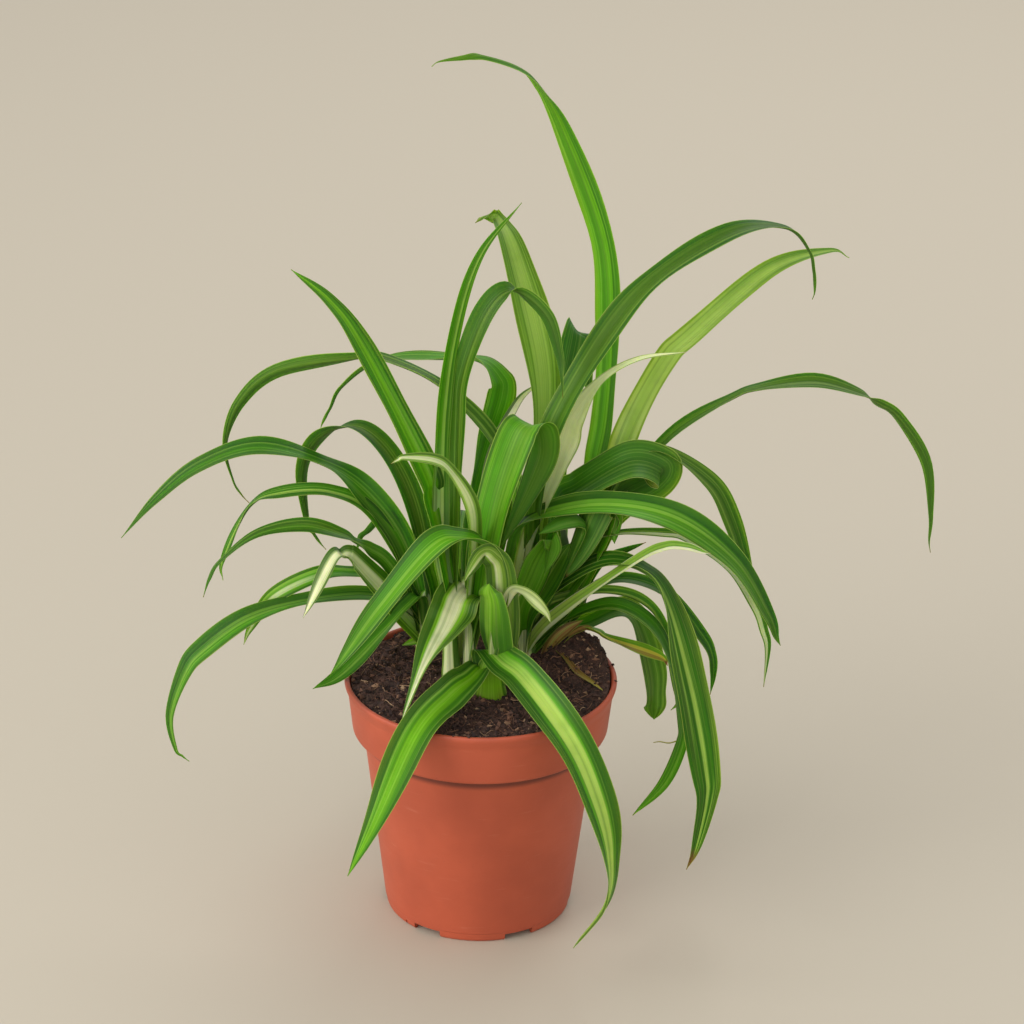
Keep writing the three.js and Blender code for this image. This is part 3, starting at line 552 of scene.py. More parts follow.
feed(0.36 + 0.16 * blotches + 0.12 * read("under") + 0.08 * (1 - veins), shader, "Roughness")
ribbing = wire.add("ShaderNodeBump", {}, {"Strength": 0.5, "Distance": 0.0005,
                                          "Height": veins * 0.8 + stripes * 0.6 + wrinkles * 0.25})
feed(ribbing, shader, "Normal")


def through(points, t, slope=False):
    """The smooth curve through evenly timed points, or its slope, at t from 0 to 1."""
    last = len(points) - 1
    i = min(last - 1, int(t * last))
    w = t * last - i
    one, two = points[i], points[i + 1]
    before = points[i - 1] if i > 0 else one * 2 - two
    after = points[i + 2] if i + 2 <= last else two * 2 - one
    leave, arrive = (two - before) * 0.5, (after - one) * 0.5
    square = two * 3 - one * 3 - leave * 2 - arrive
    cube = one * 2 - two * 2 + leave + arrive
    if slope:
        return leave + square * (2 * w) + cube * (3 * w * w)
    return one + leave * w + square * (w * w) + cube * (w ** 3)


def blended(tones, s):
    """The colour at a share s of the length, between the tones of the base, the middle and the tip."""
    names = tones.split()
    first, second = (0, 1) if s < 0.5 else (1, 2)
    share = s * 2 - first
    return [a * (1 - share) + b * share for a, b in zip(TONES[names[first]], TONES[names[second]])]


MARKS = ("across", "side", "along", "run", "under", "margin_from", "seed")


def dress(piece, node, marks, colours, margin, core, lines, dry_from):
    """Writes what the leaf skin reads at each vertex, a row of MARKS for each, and puts the skin on."""
    tone, at, half, strength, *begin = core
    count = len(colours)
    numbers = dict(zip(MARKS, zip(*marks)))
    for key, value in (("lines", lines), ("core_at", at), ("core_half", half), ("core_strength", strength),
                       ("core_from", begin[0] if begin else -1), ("dry_from", dry_from)):
        numbers[key] = [value] * count
    for key, values in numbers.items():
        piece.data.attributes.new(key, "FLOAT", "POINT").data.foreach_set("value", values)
    for key, tones in (("tone", colours), ("margin_tone", [TONES[margin]] * count),
                       ("core_tone", [TONES[tone]] * count)):
        flat = [number for colour in tones for number in (*colour, 1)]
        piece.data.attributes.new(key, "FLOAT_COLOR", "POINT").data.foreach_set("color", flat)
    piece.data.materials.append(leaf_skin)
    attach(piece, "root")
    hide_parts(node)


def grow_leaf(name, node, foot, heading, width, tones, core, route,
              base=0.4, taper=2.2, margin="dark", margins=(0.7, 0.7), lines=0.3, dry=0.02):
    """One leaf. route lists (out, up, roll, sway) in millimetres and degrees, out from the crown's foot;
    sway, to the left, may be left out. base is the width at the foot as a share of the full width, and a
    larger taper keeps the blade wide for longer. tones are those of base, middle and tip, and margins the
    shares of the half width where the margins start. core is the stripe along the middle: its tone, place,
    half width, strength and, unless it begins at the base, the share of the length where it begins."""
    turn = math.radians(heading)
    outward = Vector((math.cos(turn), math.sin(turn), 0))
    leftward = Vector((-math.sin(turn), math.cos(turn), 0))
    places, rolls = [], []
    for out, up, roll, *sway in route:
        places.append(Vector((foot[0], foot[1], up)) + outward * out + leftward * (sway[0] if sway else 0))
        rolls.append(roll)
    seed = random.Random(name).random() * 9
    centres = [through(places, i / ALONG) for i in range(ALONG + 1)]
    reach = [0.0]
    for i in range(ALONG):
        reach.append(reach[-1] + (centres[i + 1] - centres[i]).length)
    length = reach[-1]
    vertices, marks, colours = [], [], []
    for i, centre in enumerate(centres):
        s = reach[i] / length
        direction = through(places, i / ALONG, slope=True).normalized()
        level = (leftward - direction * leftward.dot(direction)).normalized()
        sideways = Matrix.Rotation(math.radians(through(rolls, i / ALONG)), 3, direction) @ level
        upper = direction.cross(sideways)
        swell = base + (1 - base) * math.sin(math.pi / 2 * min(1, s / WIDEST_AT))
        past = max(0, (s - WIDEST_AT) / (1 - WIDEST_AT))
        blade = max(TIP_WIDTH, width * swell * (1 - past ** taper))
        half = blade / 2
        crease = CREASE_AT_BASE + (CREASE_AT_TIP - CREASE_AT_BASE) * s
        fullness = min(1, blade / FULL_FROM)
        wave = WAVE * blade * math.sin(reach[i] * WAVE_PACE + seed * 5)
        tone = blended(tones, s)
        for face in (0, 1):
            for k in range(ACROSS + 1):
                v = -1 + 2 * k / ACROSS
                folded = (math.sqrt(v * v + FOLD_SOFT) - FOLD_LOW) / FOLD_SPAN
                rise = half * crease * folded + wave * v * abs(v)
                thick = EDGE_THICKNESS + (RIB_THICKNESS - EDGE_THICKNESS) * (1 - v * v) ** 1.5
                drop = thick * (THINNEST + (1 - THINNEST) * fullness) * face
                vertices.append((centre + sideways * (half * v) + upper * (rise - drop)) * MM)
                margin_from = margins[0] if v < 0 else margins[1]
                marks.append((v, v * width / 2 * MM, s, reach[i] * MM, face, margin_from, seed))
                colours.append(tone)
    loop = 2 * (ACROSS + 1)
    faces = []
    for i in range(ALONG):
        near, far = i * loop, (i + 1) * loop
        for k in range(ACROSS):
            faces.append((near + k, far + k, far + k + 1, near + k + 1))
            low = ACROSS + 1 + k
            faces.append((near + low, near + low + 1, far + low + 1, far + low))
        right, right_under = ACROSS, 2 * ACROSS + 1
        faces.append((near + right, far + right, far + right_under, near + right_under))
        faces.append((near, near + ACROSS + 1, far + ACROSS + 1, far))
    for start, flip in ((0, False), (ALONG * loop, True)):
        for k in range(ACROSS):
            quad = (start + k, start + k + 1, start + ACROSS + 2 + k, start + ACROSS + 1 + k)
            faces.append(quad[::-1] if flip else quad)
    leaf = place("leaf_" + name, vertices, faces)
    leaf.data.set_sharp_from_angle(angle=math.radians(LEAF_SHARP))
    dress(leaf, node, marks, colours, margin, core, lines, 1 - dry)


SHEATH_SIDES = 20
SHEATH_RINGS = 26
SHEATH_TAPER = 0.35        # share of the width lost from foot to top
ROUNDED_FROM = 0.82        # share of the height where the top starts to round off
SHEATH_TOP = 0.02          # share of the width left at the very top
BULGE = 0.12               # extra width where the leaf bases swell
BULGE_AT = 0.2             # share of the height
BULGE_SPREAD = 0.15
FOLDS = 5                  # grooves between the clasped leaf bases
FOLD_DEPTH = 0.10
NEVER_DRY = 2              # a dry tip would start past the end of the piece


def grow_sheath(name, node, foot, top, width, depth, tones, margins, core, lines):
    """A short stem of clasped leaf bases: a column from foot to top, (x, y, z), that narrows upwards."""
    foot, top = Vector(foot), Vector(top)
    length = (top - foot).length
    seed = random.Random(name).random() * 9
    vertices, marks, colours = [], [], []
    for i in range(SHEATH_RINGS + 1):
        s = i / SHEATH_RINGS
        centre = foot.lerp(top, s)
        near_top = max(0, (s - ROUNDED_FROM) / (1 - ROUNDED_FROM))
        swell = (1 - SHEATH_TAPER * s) * math.sqrt(max(0, 1 - near_top ** 2))
        swell = max(swell, SHEATH_TOP) * (1 + BULGE * math.exp(-((s - BULGE_AT) / BULGE_SPREAD) ** 2))
        tone = blended(tones, s)
        for k in range(SHEATH_SIDES):
            angle = 2 * math.pi * k / SHEATH_SIDES
            groove = 1 - FOLD_DEPTH * max(0, math.cos(FOLDS * angle + seed)) ** 3
            v = math.cos(angle)
            x = width / 2 * swell * groove * v
            y = depth / 2 * swell * groove * math.sin(angle)
            vertices.append((centre + Vector((x, y, 0))) * MM)
            margin_from = margins[0] if v < 0 else margins[1]
            marks.append((v, v * width / 2 * MM, s, s * length * MM, 0, margin_from, seed))
            colours.append(tone)
    faces = bands(0, SHEATH_RINGS + 1, SHEATH_SIDES)
    faces.append(tuple(range(SHEATH_SIDES))[::-1])
    faces.append(tuple(SHEATH_RINGS * SHEATH_SIDES + k for k in range(SHEATH_SIDES)))
    sheath = place("sheath_" + name, vertices, faces)
    dress(sheath, node, marks, colours, "mid", core, lines, NEVER_DRY)


FRONT = ("crown_front", (4, -14))
grow_leaf(
    "front_over_left_rim", *FRONT, heading=196, width=15.5, taper=3, tones="mid bright mid",
    margins=(0.68, 0.7), core=("lime", 0.05, 0.25, 0.3), dry=0.01,
    route=[(2, 112, 10, -2), (-3, 153, 10, -2), (1, 178, 10, -2), (13, 184, 10, -4), (26, 181, -20, -3),
        (49, 157, -25), (64, 141, -40, 5), (69, 135, -65, 6), (73, 131, -65, 7)])
grow_leaf(
    "front_before_pot_left", *FRONT, heading=237, width=16.5, base=0.7, tones="mid bright bright",
    margins=(0.58, 0.72), core=("lime", 0.05, 0.34, 0.6), lines=0.4, dry=0.01,
    route=[(2, 112, 10, -2), (2, 122, 10, -2), (12, 121, -5, -2), (28, 120, -35, -2), (54, 112, -10, -2),
        (85, 82, 0, -2), (104, 66, 10, -2)])
grow_leaf(
    "front_before_pot_right", *FRONT, heading=-55, width=17.5, base=0.7, tones="bright bright soft",
    margins=(0.56, 0.6), core=("pale", 0, 0.34, 0.95, 0.2), lines=0.8, dry=0.01,
    route=[(1, 112, 5, 2), (-5, 128, 5, 2), (9, 128, 40, 2), (25, 126, 35, 2), (59, 111, 15, 2),
        (78, 92, -5, 2), (88, 70, -25, 2), (87, 46, -35, 2), (64, 12, -35, 2)])
grow_leaf(
    "front_plain_front", *FRONT, heading=250, width=18.5, taper=5, tones="mid mid lime", margin="mid",
    margins=(0.85, 0.55), core=("lime", -0.2, 0.3, 0.4), dry=0,
    route=[(-3, 112, -25, -1), (-4, 118, -25, 2), (0, 136, -25, 1), (4, 155, -20, 2), (5, 161, 5, 1),
        (5, 165, 5, 1)])
grow_leaf(
    "front_curled", *FRONT, heading=200, width=15, tones="grey soft soft", core=("cream", -0.1, 0.2, 0.8),
    lines=1, dry=0,
    route=[(-4, 112, 40, -1), (-5, 135, 40, 1), (-3, 168, 60, 3), (1, 177, 75, 4), (5, 179, 70, 3),
        (11, 171, 105, 3), (13, 166, 105, 2)])
grow_leaf(
    "front_pale_curl", *FRONT, heading=-20, width=9.5, taper=3, tones="pale cream pale", margin="mid",
    margins=(0.9, 0.85), core=("cream", 0, 0.5, 0.6), lines=0.5, dry=0.01,
    route=[(3, 112, -25, 2), (3, 135, -25, 2), (9, 157, -45, 2), (14, 160, -55, 2), (24, 153, -105, 2),
        (27, 148, -105, 2)])
grow_sheath("front_bulb", "crown_front", (4.5, -13, 103), (4, -13, 127), 15, 13,
            tones="brown lime soft", margins=(0.85, 0.85), core=("lime", 0, 0.5, 0.5), lines=0.05)


# ---- Middle crown -------------------------------------------------------------------------------------
# The shoot at the centre. Its sheaths stand as three cream and green columns out of the compost, and its
# leaves go nearly straight up before they arch over, most of them to the left.
MIDDLE = ("crown_middle", (-10, 8))
REAR = {"tones": "soft bright mid", "lines": 0.4, "base": 0.6}      # leaves that reach down behind
grow_leaf(
    "middle_big_arch", *MIDDLE, heading=60, width=11, base=0.7, taper=3, tones="olive olive dark",
    margins=(0.75, 0.75), core=("mid", 0.3, 0.25, 0.3), lines=0.1,
    route=[(-1, 112, -20, 3), (2, 161, -20, 4), (5, 184, -20, 5), (11, 222, -15, 8), (14, 244, -10, 8),
        (21, 272, 0, 1), (28, 282, 0, -8), (33, 272, 0, -22), (35, 254, -10, -28), (34, 245, 15, -30),
        (34, 235, 15, -31)])
grow_leaf(
    "middle_folded", *MIDDLE, heading=75, width=19, base=0.7, tones="bright bright mid",
    margins=(0.85, 0.85), core=("soft", -0.3, 0.35, 0.4), lines=0.25,
    route=[(-1, 112, -45, -3), (0, 145, -45, -9), (2, 188, -25, -15), (8, 217, -20, -22),
        (12, 225, -10, -26), (18, 222, 10, -30), (21, 210, 20, -31), (19, 196, 10, -27), (12, 165, 5, -15)])
grow_leaf(
    "middle_cream_upright", *MIDDLE, heading=50, width=5, taper=5, tones="pale cream cream",
    margins=(0.9, 0.3), core=("cream", -0.2, 0.5, 0.9),
    route=[(4, 112, 0), (12, 160, 0, -2), (26, 197, 0, 6), (47, 219, 40, 9), (63, 225, 45, 9)])
grow_leaf(
    "middle_steep_left", *MIDDLE, heading=165, width=13.5, taper=3, tones="bright bright mid",
    margins=(0.6, 0.7), core=("lime", 0.05, 0.25, 0.6), lines=0.25, dry=0.01,
    route=[(3, 112, -20), (3, 143, -20), (13, 189, -20), (16, 204, -25), (44, 258, -25), (59, 278, -35),
        (76, 290, -60)])
grow_leaf(
    "middle_upright_narrow", *MIDDLE, heading=100, width=8.5, tones="cream bright mid", margin="mid",
    margins=(0.45, 0.8), core=("pale", -0.3, 0.2, 0.4), lines=0.1, dry=0.01,
    route=[(-1, 112, 10, 4), (1, 144, 10, 5), (5, 171, 10, 8), (13, 227, 35, 6), (21, 266, 25, -1),
        (28, 294, 20, -12), (39, 313, 20, -32)])
grow_leaf(
    "middle_wide_arch_left", *MIDDLE, heading=150, width=9.5, tones="mid olive dark", margins=(0.7, 0.8),
    core=("soft", 0.1, 0.2, 0.4), lines=0.2, dry=0.03,
    route=[(0, 112, 0, -4), (-8, 154, 0, -15), (-7, 188, 0, -27), (1, 211, 0, -28), (25, 233, 10, -22),
        (51, 241, 10, -17), (62, 240, 40, -14), (97, 229, 65, -5), (114, 212, 55), (121, 191, 0, 2),
        (118, 174, -10, 1), (114, 167, 50), (110, 163, 50, -1)])
grow_leaf(
    "middle_folded_left", *MIDDLE, heading=140, width=16, base=0.7, tones="mid bright mid",
    margins=(0.85, 0.85), core=("bright", 0, 0.3, 0.3), lines=0.35,
    route=[(3, 112, 15, -2), (6, 153, 15, -10), (14, 180, 15, -23), (16, 204, 0, -35), (16, 223, -15, -44),
        (18, 230, 5, -45), (26, 237, 20, -42), (40, 237, 10, -33), (63, 234, 0, -19), (77, 221, -10, -9),
        (80, 211, -10, -4), (82, 204, 60, -1), (83, 201, 60, -1)])
grow_leaf(
    "middle_young_pale", *MIDDLE, heading=190, width=9.5, taper=5, tones="mid pale soft",
    margins=(0.6, 0.8), core=("cream", 0, 0.4, 0.8), lines=0.4,
    route=[(-1, 112, -40, 4), (-4, 155, -40, 3), (-5, 175, -40, 6), (-2, 196, -50, 14), (7, 213, -20, 16),
        (14, 219, -15, 17), (27, 222, -20, 19), (30, 221, -40, 19), (33, 220, -40, 20)])
grow_leaf(
    "middle_cream_banded", *MIDDLE, heading=247, width=20.5, tones="pale lime bright", margins=(0.6, 0.62),
    core=("cream", -0.08, 0.34, 0.95), lines=0.7, dry=0.01,
    route=[(4, 112, -40, 2), (-5, 123, -40, 2), (-11, 140, -40, 2), (-6, 147, -40, 2), (5, 147, -10, 2),
        (11, 143, -15, 2), (19, 138, 10, 2), (43, 129, 40, 2), (64, 115, 40, 2)])
grow_leaf(
    "middle_rear_left_arch", *MIDDLE, heading=86, width=10.5, **REAR, core=("cream", 0, 0.2, 0.4),
    route=[(3, 112, 0), (13, 140, 0), (38, 160, -5), (75, 152, -10), (110, 117, -10), (140, 66, -5),
        (154, 22, 0)])
grow_sheath("middle_left", "crown_middle", (-12.5, 1, 104), (-14, 4, 140), 8.5, 6.5,
            tones="cream pale bright", margins=(0.95, 0.25), core=("cream", -0.3, 0.5, 0.9), lines=0.5)
grow_sheath("middle_right", "crown_middle", (-4.5, 2, 104), (-6, 6, 136), 7.5, 6.5,
            tones="cream cream pale", margins=(0.95, 0.8), core=("cream", 0, 0.6, 0.8), lines=0.9)
grow_sheath("middle_rear", "crown_middle", (-10, 11, 104), (-11, 11, 142), 11, 9,
            tones="pale pale bright", margins=(0.9, 0.9), core=("pale", 0, 0.6, 0.8), lines=0.5)


# ---- Left crown ---------------------------------------------------------------------------------------
# A spreading shoot at the left rear. Most of its leaves pass low over the rim and bow down to the left in
# a fan, and two reach down behind. All are the same thin striped blade, and clasp each other at the base.
LEFT = ("crown_left", (-24, 30))
grow_leaf(
    "left_tucked_in", *LEFT, heading=150, width=10, taper=5, tones="mid bright mid", margins=(0.6, 0.7),
    core=("lime", 0, 0.3, 0.4), dry=0.01,
    route=[(3, 113, -25), (-5, 134, -25), (-1, 153, -25), (15, 194, -15)])
grow_leaf(
    "left_shaded", *LEFT, heading=224, width=9.5, taper=3, tones="mid mid mid", margins=(0.75, 0.85),
    core=("bright", 0, 0.3, 0.3), lines=0.4, dry=0.01,
    route=[(3, 113, 5), (5, 135, 5), (12, 135, 5), (26, 127, 5), (52, 114, -35), (68, 112, -30)])
grow_leaf(
    "left_long_left", *LEFT, heading=172, width=12.5, base=0.7, tones="mid mid dark", margins=(0.5, 0.75),
    core=("bright", 0.15, 0.24, 0.5), lines=0.2, dry=0.01,
    route=[(3, 113, -60), (2, 123, -60), (11, 159, -60), (27, 182, -45), (46, 195, 0), (76, 201, -15),
        (103, 190, -35), (123, 172, -35), (139, 152, -40)])
grow_leaf(
    "left_dark_bowed", *LEFT, heading=160, width=11, tones="mid olive dark", margins=(0.6, 0.6),
    core=("olive", 0, 0.3, 0.5), lines=0.15,
    route=[(3, 113, -30), (-1, 133, -30), (4, 167, -30), (12, 190, -30), (24, 206, -15), (37, 211, 10),
        (52, 203, 40), (60, 186, 25), (58, 161, 25), (55, 156, 10), (52, 152, 55), (49, 149, 55)])
grow_leaf(
    "left_pale_bowed", *LEFT, heading=180, width=7.5, taper=3, tones="mid mid mid", margins=(0.7, 0.75),
    core=("pale", 0.1, 0.22, 0.6), lines=0.4, dry=0.01,
    route=[(3, 113, -40), (6, 138, -40), (24, 174, -40), (43, 185, -25), (65, 184, -20), (79, 177, 5),
        (91, 151, -75), (91, 141, -75)])
grow_leaf(
    "left_dark_out", *LEFT, heading=190, width=7.5, base=0.7, tones="mid olive dark", margins=(0.65, 0.7),
    core=("bright", 0.2, 0.3, 0.4), lines=0.2,
    route=[(3, 113, -65), (4, 128, -65), (18, 152, -65), (26, 159, -40), (32, 163, 5), (38, 167, -10),
        (55, 173, -40), (76, 170, -20), (92, 158, 0), (97, 150, -35), (100, 141, -35)])
grow_leaf(
    "left_beige", *LEFT, heading=200, width=14.5, base=0.7, tones="soft soft cream", margins=(0.6, 0.65),
    core=("cream", 0, 0.42, 0.9, 0.2), lines=0.8, dry=0.01,
    route=[(3, 113, -70), (2, 116, -70), (31, 153, -40), (36, 159, -25), (39, 160, 5), (44, 159, 0),
        (58, 133, -30)])
grow_leaf(
    "left_bright_out", *LEFT, heading=185, width=9, taper=3, tones="mid bright soft", margins=(0.65, 0.75),
    core=("cream", 0.1, 0.26, 0.6, 0.6), lines=0.35, dry=0.01,
    route=[(3, 113, -5), (6, 126, -5), (19, 143, -5), (37, 147, -10), (50, 146, -35), (69, 136, -50),
        (79, 121, -65), (82, 113, -65)])
grow_leaf(
    "left_far_left", *LEFT, heading=192, width=11.5, tones="mid mid mid", margins=(0.3, 0.9),
    core=("bright", 0.4, 0.3, 0.6), dry=0.01,
    route=[(3, 113, -20), (7, 126, -20), (25, 137, -20), (53, 137, 0), (80, 131, -25), (101, 117, -35),
        (109, 107, -35), (116, 86, -30), (114, 69, -40), (111, 65, -70), (108, 62, -70)])
grow_leaf(
    "left_small_tucked_in", *LEFT, heading=200, width=4.5, base=0.7, tones="pale lime bright", margin="mid",
    margins=(0.8, 0.8), core=("pale", 0, 0.4, 0.5), dry=0.01,
    route=[(-1, 113, -35, 3), (3, 114, -35, 3), (6, 115, -20, 3), (13, 114, -15, 3)])
grow_leaf(
    "left_inner_left", *LEFT, heading=165, width=4.5, taper=5, tones="mid dark mid",
    core=("mid", 0, 0.3, 0.4),
    route=[(3, 113, 65), (15, 170, 65), (29, 162, 60), (32, 158, 85), (33, 152, 85)])
grow_leaf(
    "left_rear_left_low", *LEFT, heading=85, width=9.5, **REAR, core=("cream", 0, 0.2, 0.4),
    route=[(3, 113, 0), (12, 132, -5), (32, 142, -10), (60, 129, -5), (86, 92, 0), (102, 48, 0),
        (107, 16, 0)])
grow_leaf(
    "left_rear_left_out", *LEFT, heading=115, width=8.5, **REAR, core=("lime", 0, 0.25, 0.4),
    route=[(3, 113, 0), (12, 127, 5), (30, 132, 10), (48, 119, 5), (60, 93, 0), (67, 62, 0)])
grow_sheath("left", "crown_left", (-24, 30, 104), (-25, 30, 138), 11, 9,
            tones="cream pale bright", margins=(0.9, 0.9), core=("cream", 0, 0.6, 0.6), lines=0.6)


# ---- Right crown --------------------------------------------------------------------------------------
# The fullest shoot, right of the middle: broad upright leaves inside, and round them narrow striped ones
# that arch over the rim and hang beside the pot.
RIGHT = ("crown_right", (18, 22))
grow_leaf(
    "right_high_arch", *RIGHT, heading=25, width=12.5, taper=3, tones="bright olive dark",
    margins=(0.7, 0.65), core=("olive", 0, 0.5, 0.5), lines=0.1, dry=0.01,
    route=[(3, 114, 20), (5, 146, 20), (6, 185, 20), (14, 220, 20), (40, 261, 25), (63, 282, 15),
        (98, 297, 20), (124, 295, 0), (136, 283, 5), (139, 273, 0), (140, 263, -40), (139, 259, -40)])
# Its ivory middle and core are painted light: lighter than the leaf, for light shining through it where it
# stands in shade.
grow_leaf(
    "right_pale_upright", *RIGHT, heading=10, width=13, tones="pale ivory soft", margin="soft",
    margins=(0.95, 0.9), core=("ivory", 0, 0.8, 1), lines=0.1,
    route=[(3, 114, 15), (-1, 138, 15), (3, 164, 15, 2), (15, 198, 30, 5), (20, 211, 55, 7),
        (23, 221, 45, 7), (35, 238, 0, 7), (51, 247, -10, 7), (71, 250, 5, 5)])
grow_leaf(
    "right_dark_upright", *RIGHT, heading=80, width=16, taper=3, tones="mid mid dark",
    core=("mid", 0.3, 0.3, 0.6),
    route=[(3, 114, 60, -2), (23, 147, 60, -3), (42, 183, 60, -5), (56, 211, 60, -7), (71, 232, 30, -9),
        (77, 236, 40, -9), (83, 230, -5, -11), (91, 214, -5, -11), (98, 194, -5, -13)])
grow_leaf(
    "right_long_right", *RIGHT, heading=-14, width=14, base=0.7, taper=5, tones="mid bright dark",
    margins=(0.85, 0.45), core=("lime", -0.15, 0.2, 0.2), lines=0.25, dry=0.01,
    route=[(3, 114, 5), (-6, 137, 5), (-5, 161, 5), (3, 177, 5), (34, 188, 20), (67, 186, 35),
        (94, 169, 25), (110, 145, 25), (114, 135, 50), (116, 131, 50)])
grow_leaf(
    "right_narrow_hanging", *RIGHT, heading=-8, width=5, taper=5, tones="soft olive mid",
    margins=(0.9, 0.4), core=("cream", -0.3, 0.4, 0.6),
    route=[(3, 114, 5), (3, 133, 5), (25, 165, 5), (40, 173, 5), (62, 175, 20), (72, 173, 20),
        (91, 160, 25), (103, 143, 70), (107, 132, 80), (109, 123, 55), (108, 104, 45)])
grow_leaf(
    "right_cream_edged", *RIGHT, heading=-22, width=7, base=1, taper=5, tones="pale soft mid",
    margin="cream", margins=(0.3, 0.9), core=("cream", -0.5, 0.3, 0.6), lines=0.4,
    route=[(2, 114, 45, -4), (3, 113, 45, -4), (15, 132, 45, -4), (53, 168, 20, -4), (67, 178, 20, -4),
        (77, 180, 25, -4), (85, 179, 65, -4), (88, 179, 65, -4)])
grow_leaf(
    "right_grey_striped", *RIGHT, heading=-5, width=6.5, base=1, taper=5, tones="soft mid mid",
    margins=(0.8, 0.7), core=("pale", 0, 0.22, 0.5), lines=0.5,
    route=[(3, 114, -70), (-2, 117, -70), (5, 128, -80), (12, 137, -65), (34, 144, -55), (52, 141, -65),
        (63, 127, -50), (69, 97, -50), (70, 91, -70), (67, 87, -70)])
grow_leaf(
    "right_hanging_beside_pot", *RIGHT, heading=-12, width=7.5, base=0.7, taper=5, tones="mid mid bright",
    margins=(0.85, 0.8), core=("bright", 0, 0.4, 0.3), lines=0.35,
    route=[(3, 114, 40), (6, 114, 40), (18, 129, 25), (39, 140, 25), (56, 134, 20), (66, 118, 15),
        (72, 89, 15), (73, 77, 40), (66, 55, 75), (52, 36, 60)])
grow_leaf(
    "right_many_striped", *RIGHT, heading=-20, width=16.5, taper=3, tones="dark mid mid",
    margins=(0.5, 0.55), core=("pale", 0.05, 0.11, 0.8, 0.4), lines=0.8, dry=0.06,
    route=[(3, 114, 30), (6, 131, 30), (14, 144, 30), (36, 161, 5), (54, 162, -15), (66, 150, 0),
        (79, 108, 40), (87, 70, 60), (88, 55, 45), (84, 30, 55), (80, 18, 50)])
grow_leaf(
    "right_inner_upright", *RIGHT, heading=30, width=17.5, taper=3, tones="mid mid mid", margins=(0.9, 0.9),
    core=("soft", 0, 0.4, 0.3), lines=0.5, dry=0,
    route=[(0, 114, 0, -2), (0, 132, 0, -5), (5, 142, 0, -7), (12, 158, 15, -11), (15, 164, 50, -12),
        (16, 167, 50, -13)])
grow_leaf(
    "right_inner_tall", *RIGHT, heading=60, width=17, base=0.7, tones="bright bright bright",
    margins=(0.9, 0.9), core=("soft", 0, 0.4, 0.3), dry=0.01,
    route=[(-4, 114, 65, -1), (-7, 133, 65), (-4, 153, 60, -6), (-2, 162, 60, -9), (-1, 168, 65, -12),
        (-1, 170, 40, -15), (-2, 165, 20, -15), (-4, 155, 20, -13)])
grow_leaf(
    "right_inner_bent_outer", *RIGHT, heading=55, width=17.5, taper=5, tones="mid mid mid",
    margins=(0.9, 0.9), core=("bright", 0, 0.4, 0.3), lines=0.35, dry=0.03,
    route=[(3, 114, 0), (10, 135, 0, -13), (17, 157, 0, -21), (21, 177, 0, -28), (19, 183, 0, -29),
        (16, 185, 0, -28), (13, 180, 0, -27), (10, 171, 5, -25), (4, 153, 5, -20)])
grow_leaf(
    "right_inner_turned_left", *RIGHT, heading=40, width=9.5, taper=5, tones="mid mid bright",
    margins=(0.85, 0.85), core=("mid", 0, 0.4, 0.4), lines=0.35, dry=0.01,
    route=[(3, 114, -30), (13, 160, -30, -17), (17, 175, -30, -21), (14, 180, -30, -20), (8, 179, -30, -16),
        (-1, 174, -30, -11)])
grow_leaf(
    "right_inner_bent", *RIGHT, heading=45, width=13, taper=5, tones="bright bright bright",
    margins=(0.9, 0.9), core=("bright", 0, 0.4, 0.4), lines=0.35, dry=0.01,
    route=[(3, 114, -10), (19, 159, -10, -22), (24, 178, -10, -27), (24, 184, -10, -28),
        (24, 182, -10, -30), (24, 177, -35, -31), (23, 169, -45, -33)])
grow_leaf(
    "right_broad_tall", *RIGHT, heading=92, width=18, taper=5, tones="pale soft olive", margin="olive",
    margins=(0.7, 0.8), core=("pale", 0, 0.45, 0.5), lines=0.2,
    route=[(2, 114, 50, 1), (4, 136, 50, -1), (14, 175, 50, -5), (22, 210, 50, -8), (37, 240, 25, -7),
        (66, 276, 25, 4), (79, 286, 30, 10), (80, 288, 70, 13), (78, 288, 40, 18), (77, 286, 40, 21)])
grow_leaf(
    "right_rear_right", *RIGHT, heading=84, width=12, **REAR, core=("cream", 0, 0.2, 0.4),
    route=[(3, 114, 0), (12, 140, 5), (32, 162, 5), (60, 170, 0), (95, 162, -5), (125, 136, -5),
        (148, 92, 0), (160, 50, 5), (163, 26, 10)])
grow_leaf(
    "right_rear_low", *RIGHT, heading=98, width=10, **REAR, core=("lime", 0, 0.25, 0.4),
    route=[(3, 114, 0), (16, 150, 0), (40, 176, 0), (70, 178, 5), (98, 157, 5), (120, 118, 5), (134, 72, 0),
        (140, 38, 0)])
grow_sheath("right", "crown_right", (18, 21, 104), (18, 22, 140), 13, 10,
            tones="cream pale bright", margins=(0.9, 0.7), core=("cream", 0, 0.6, 0.6), lines=0.7)


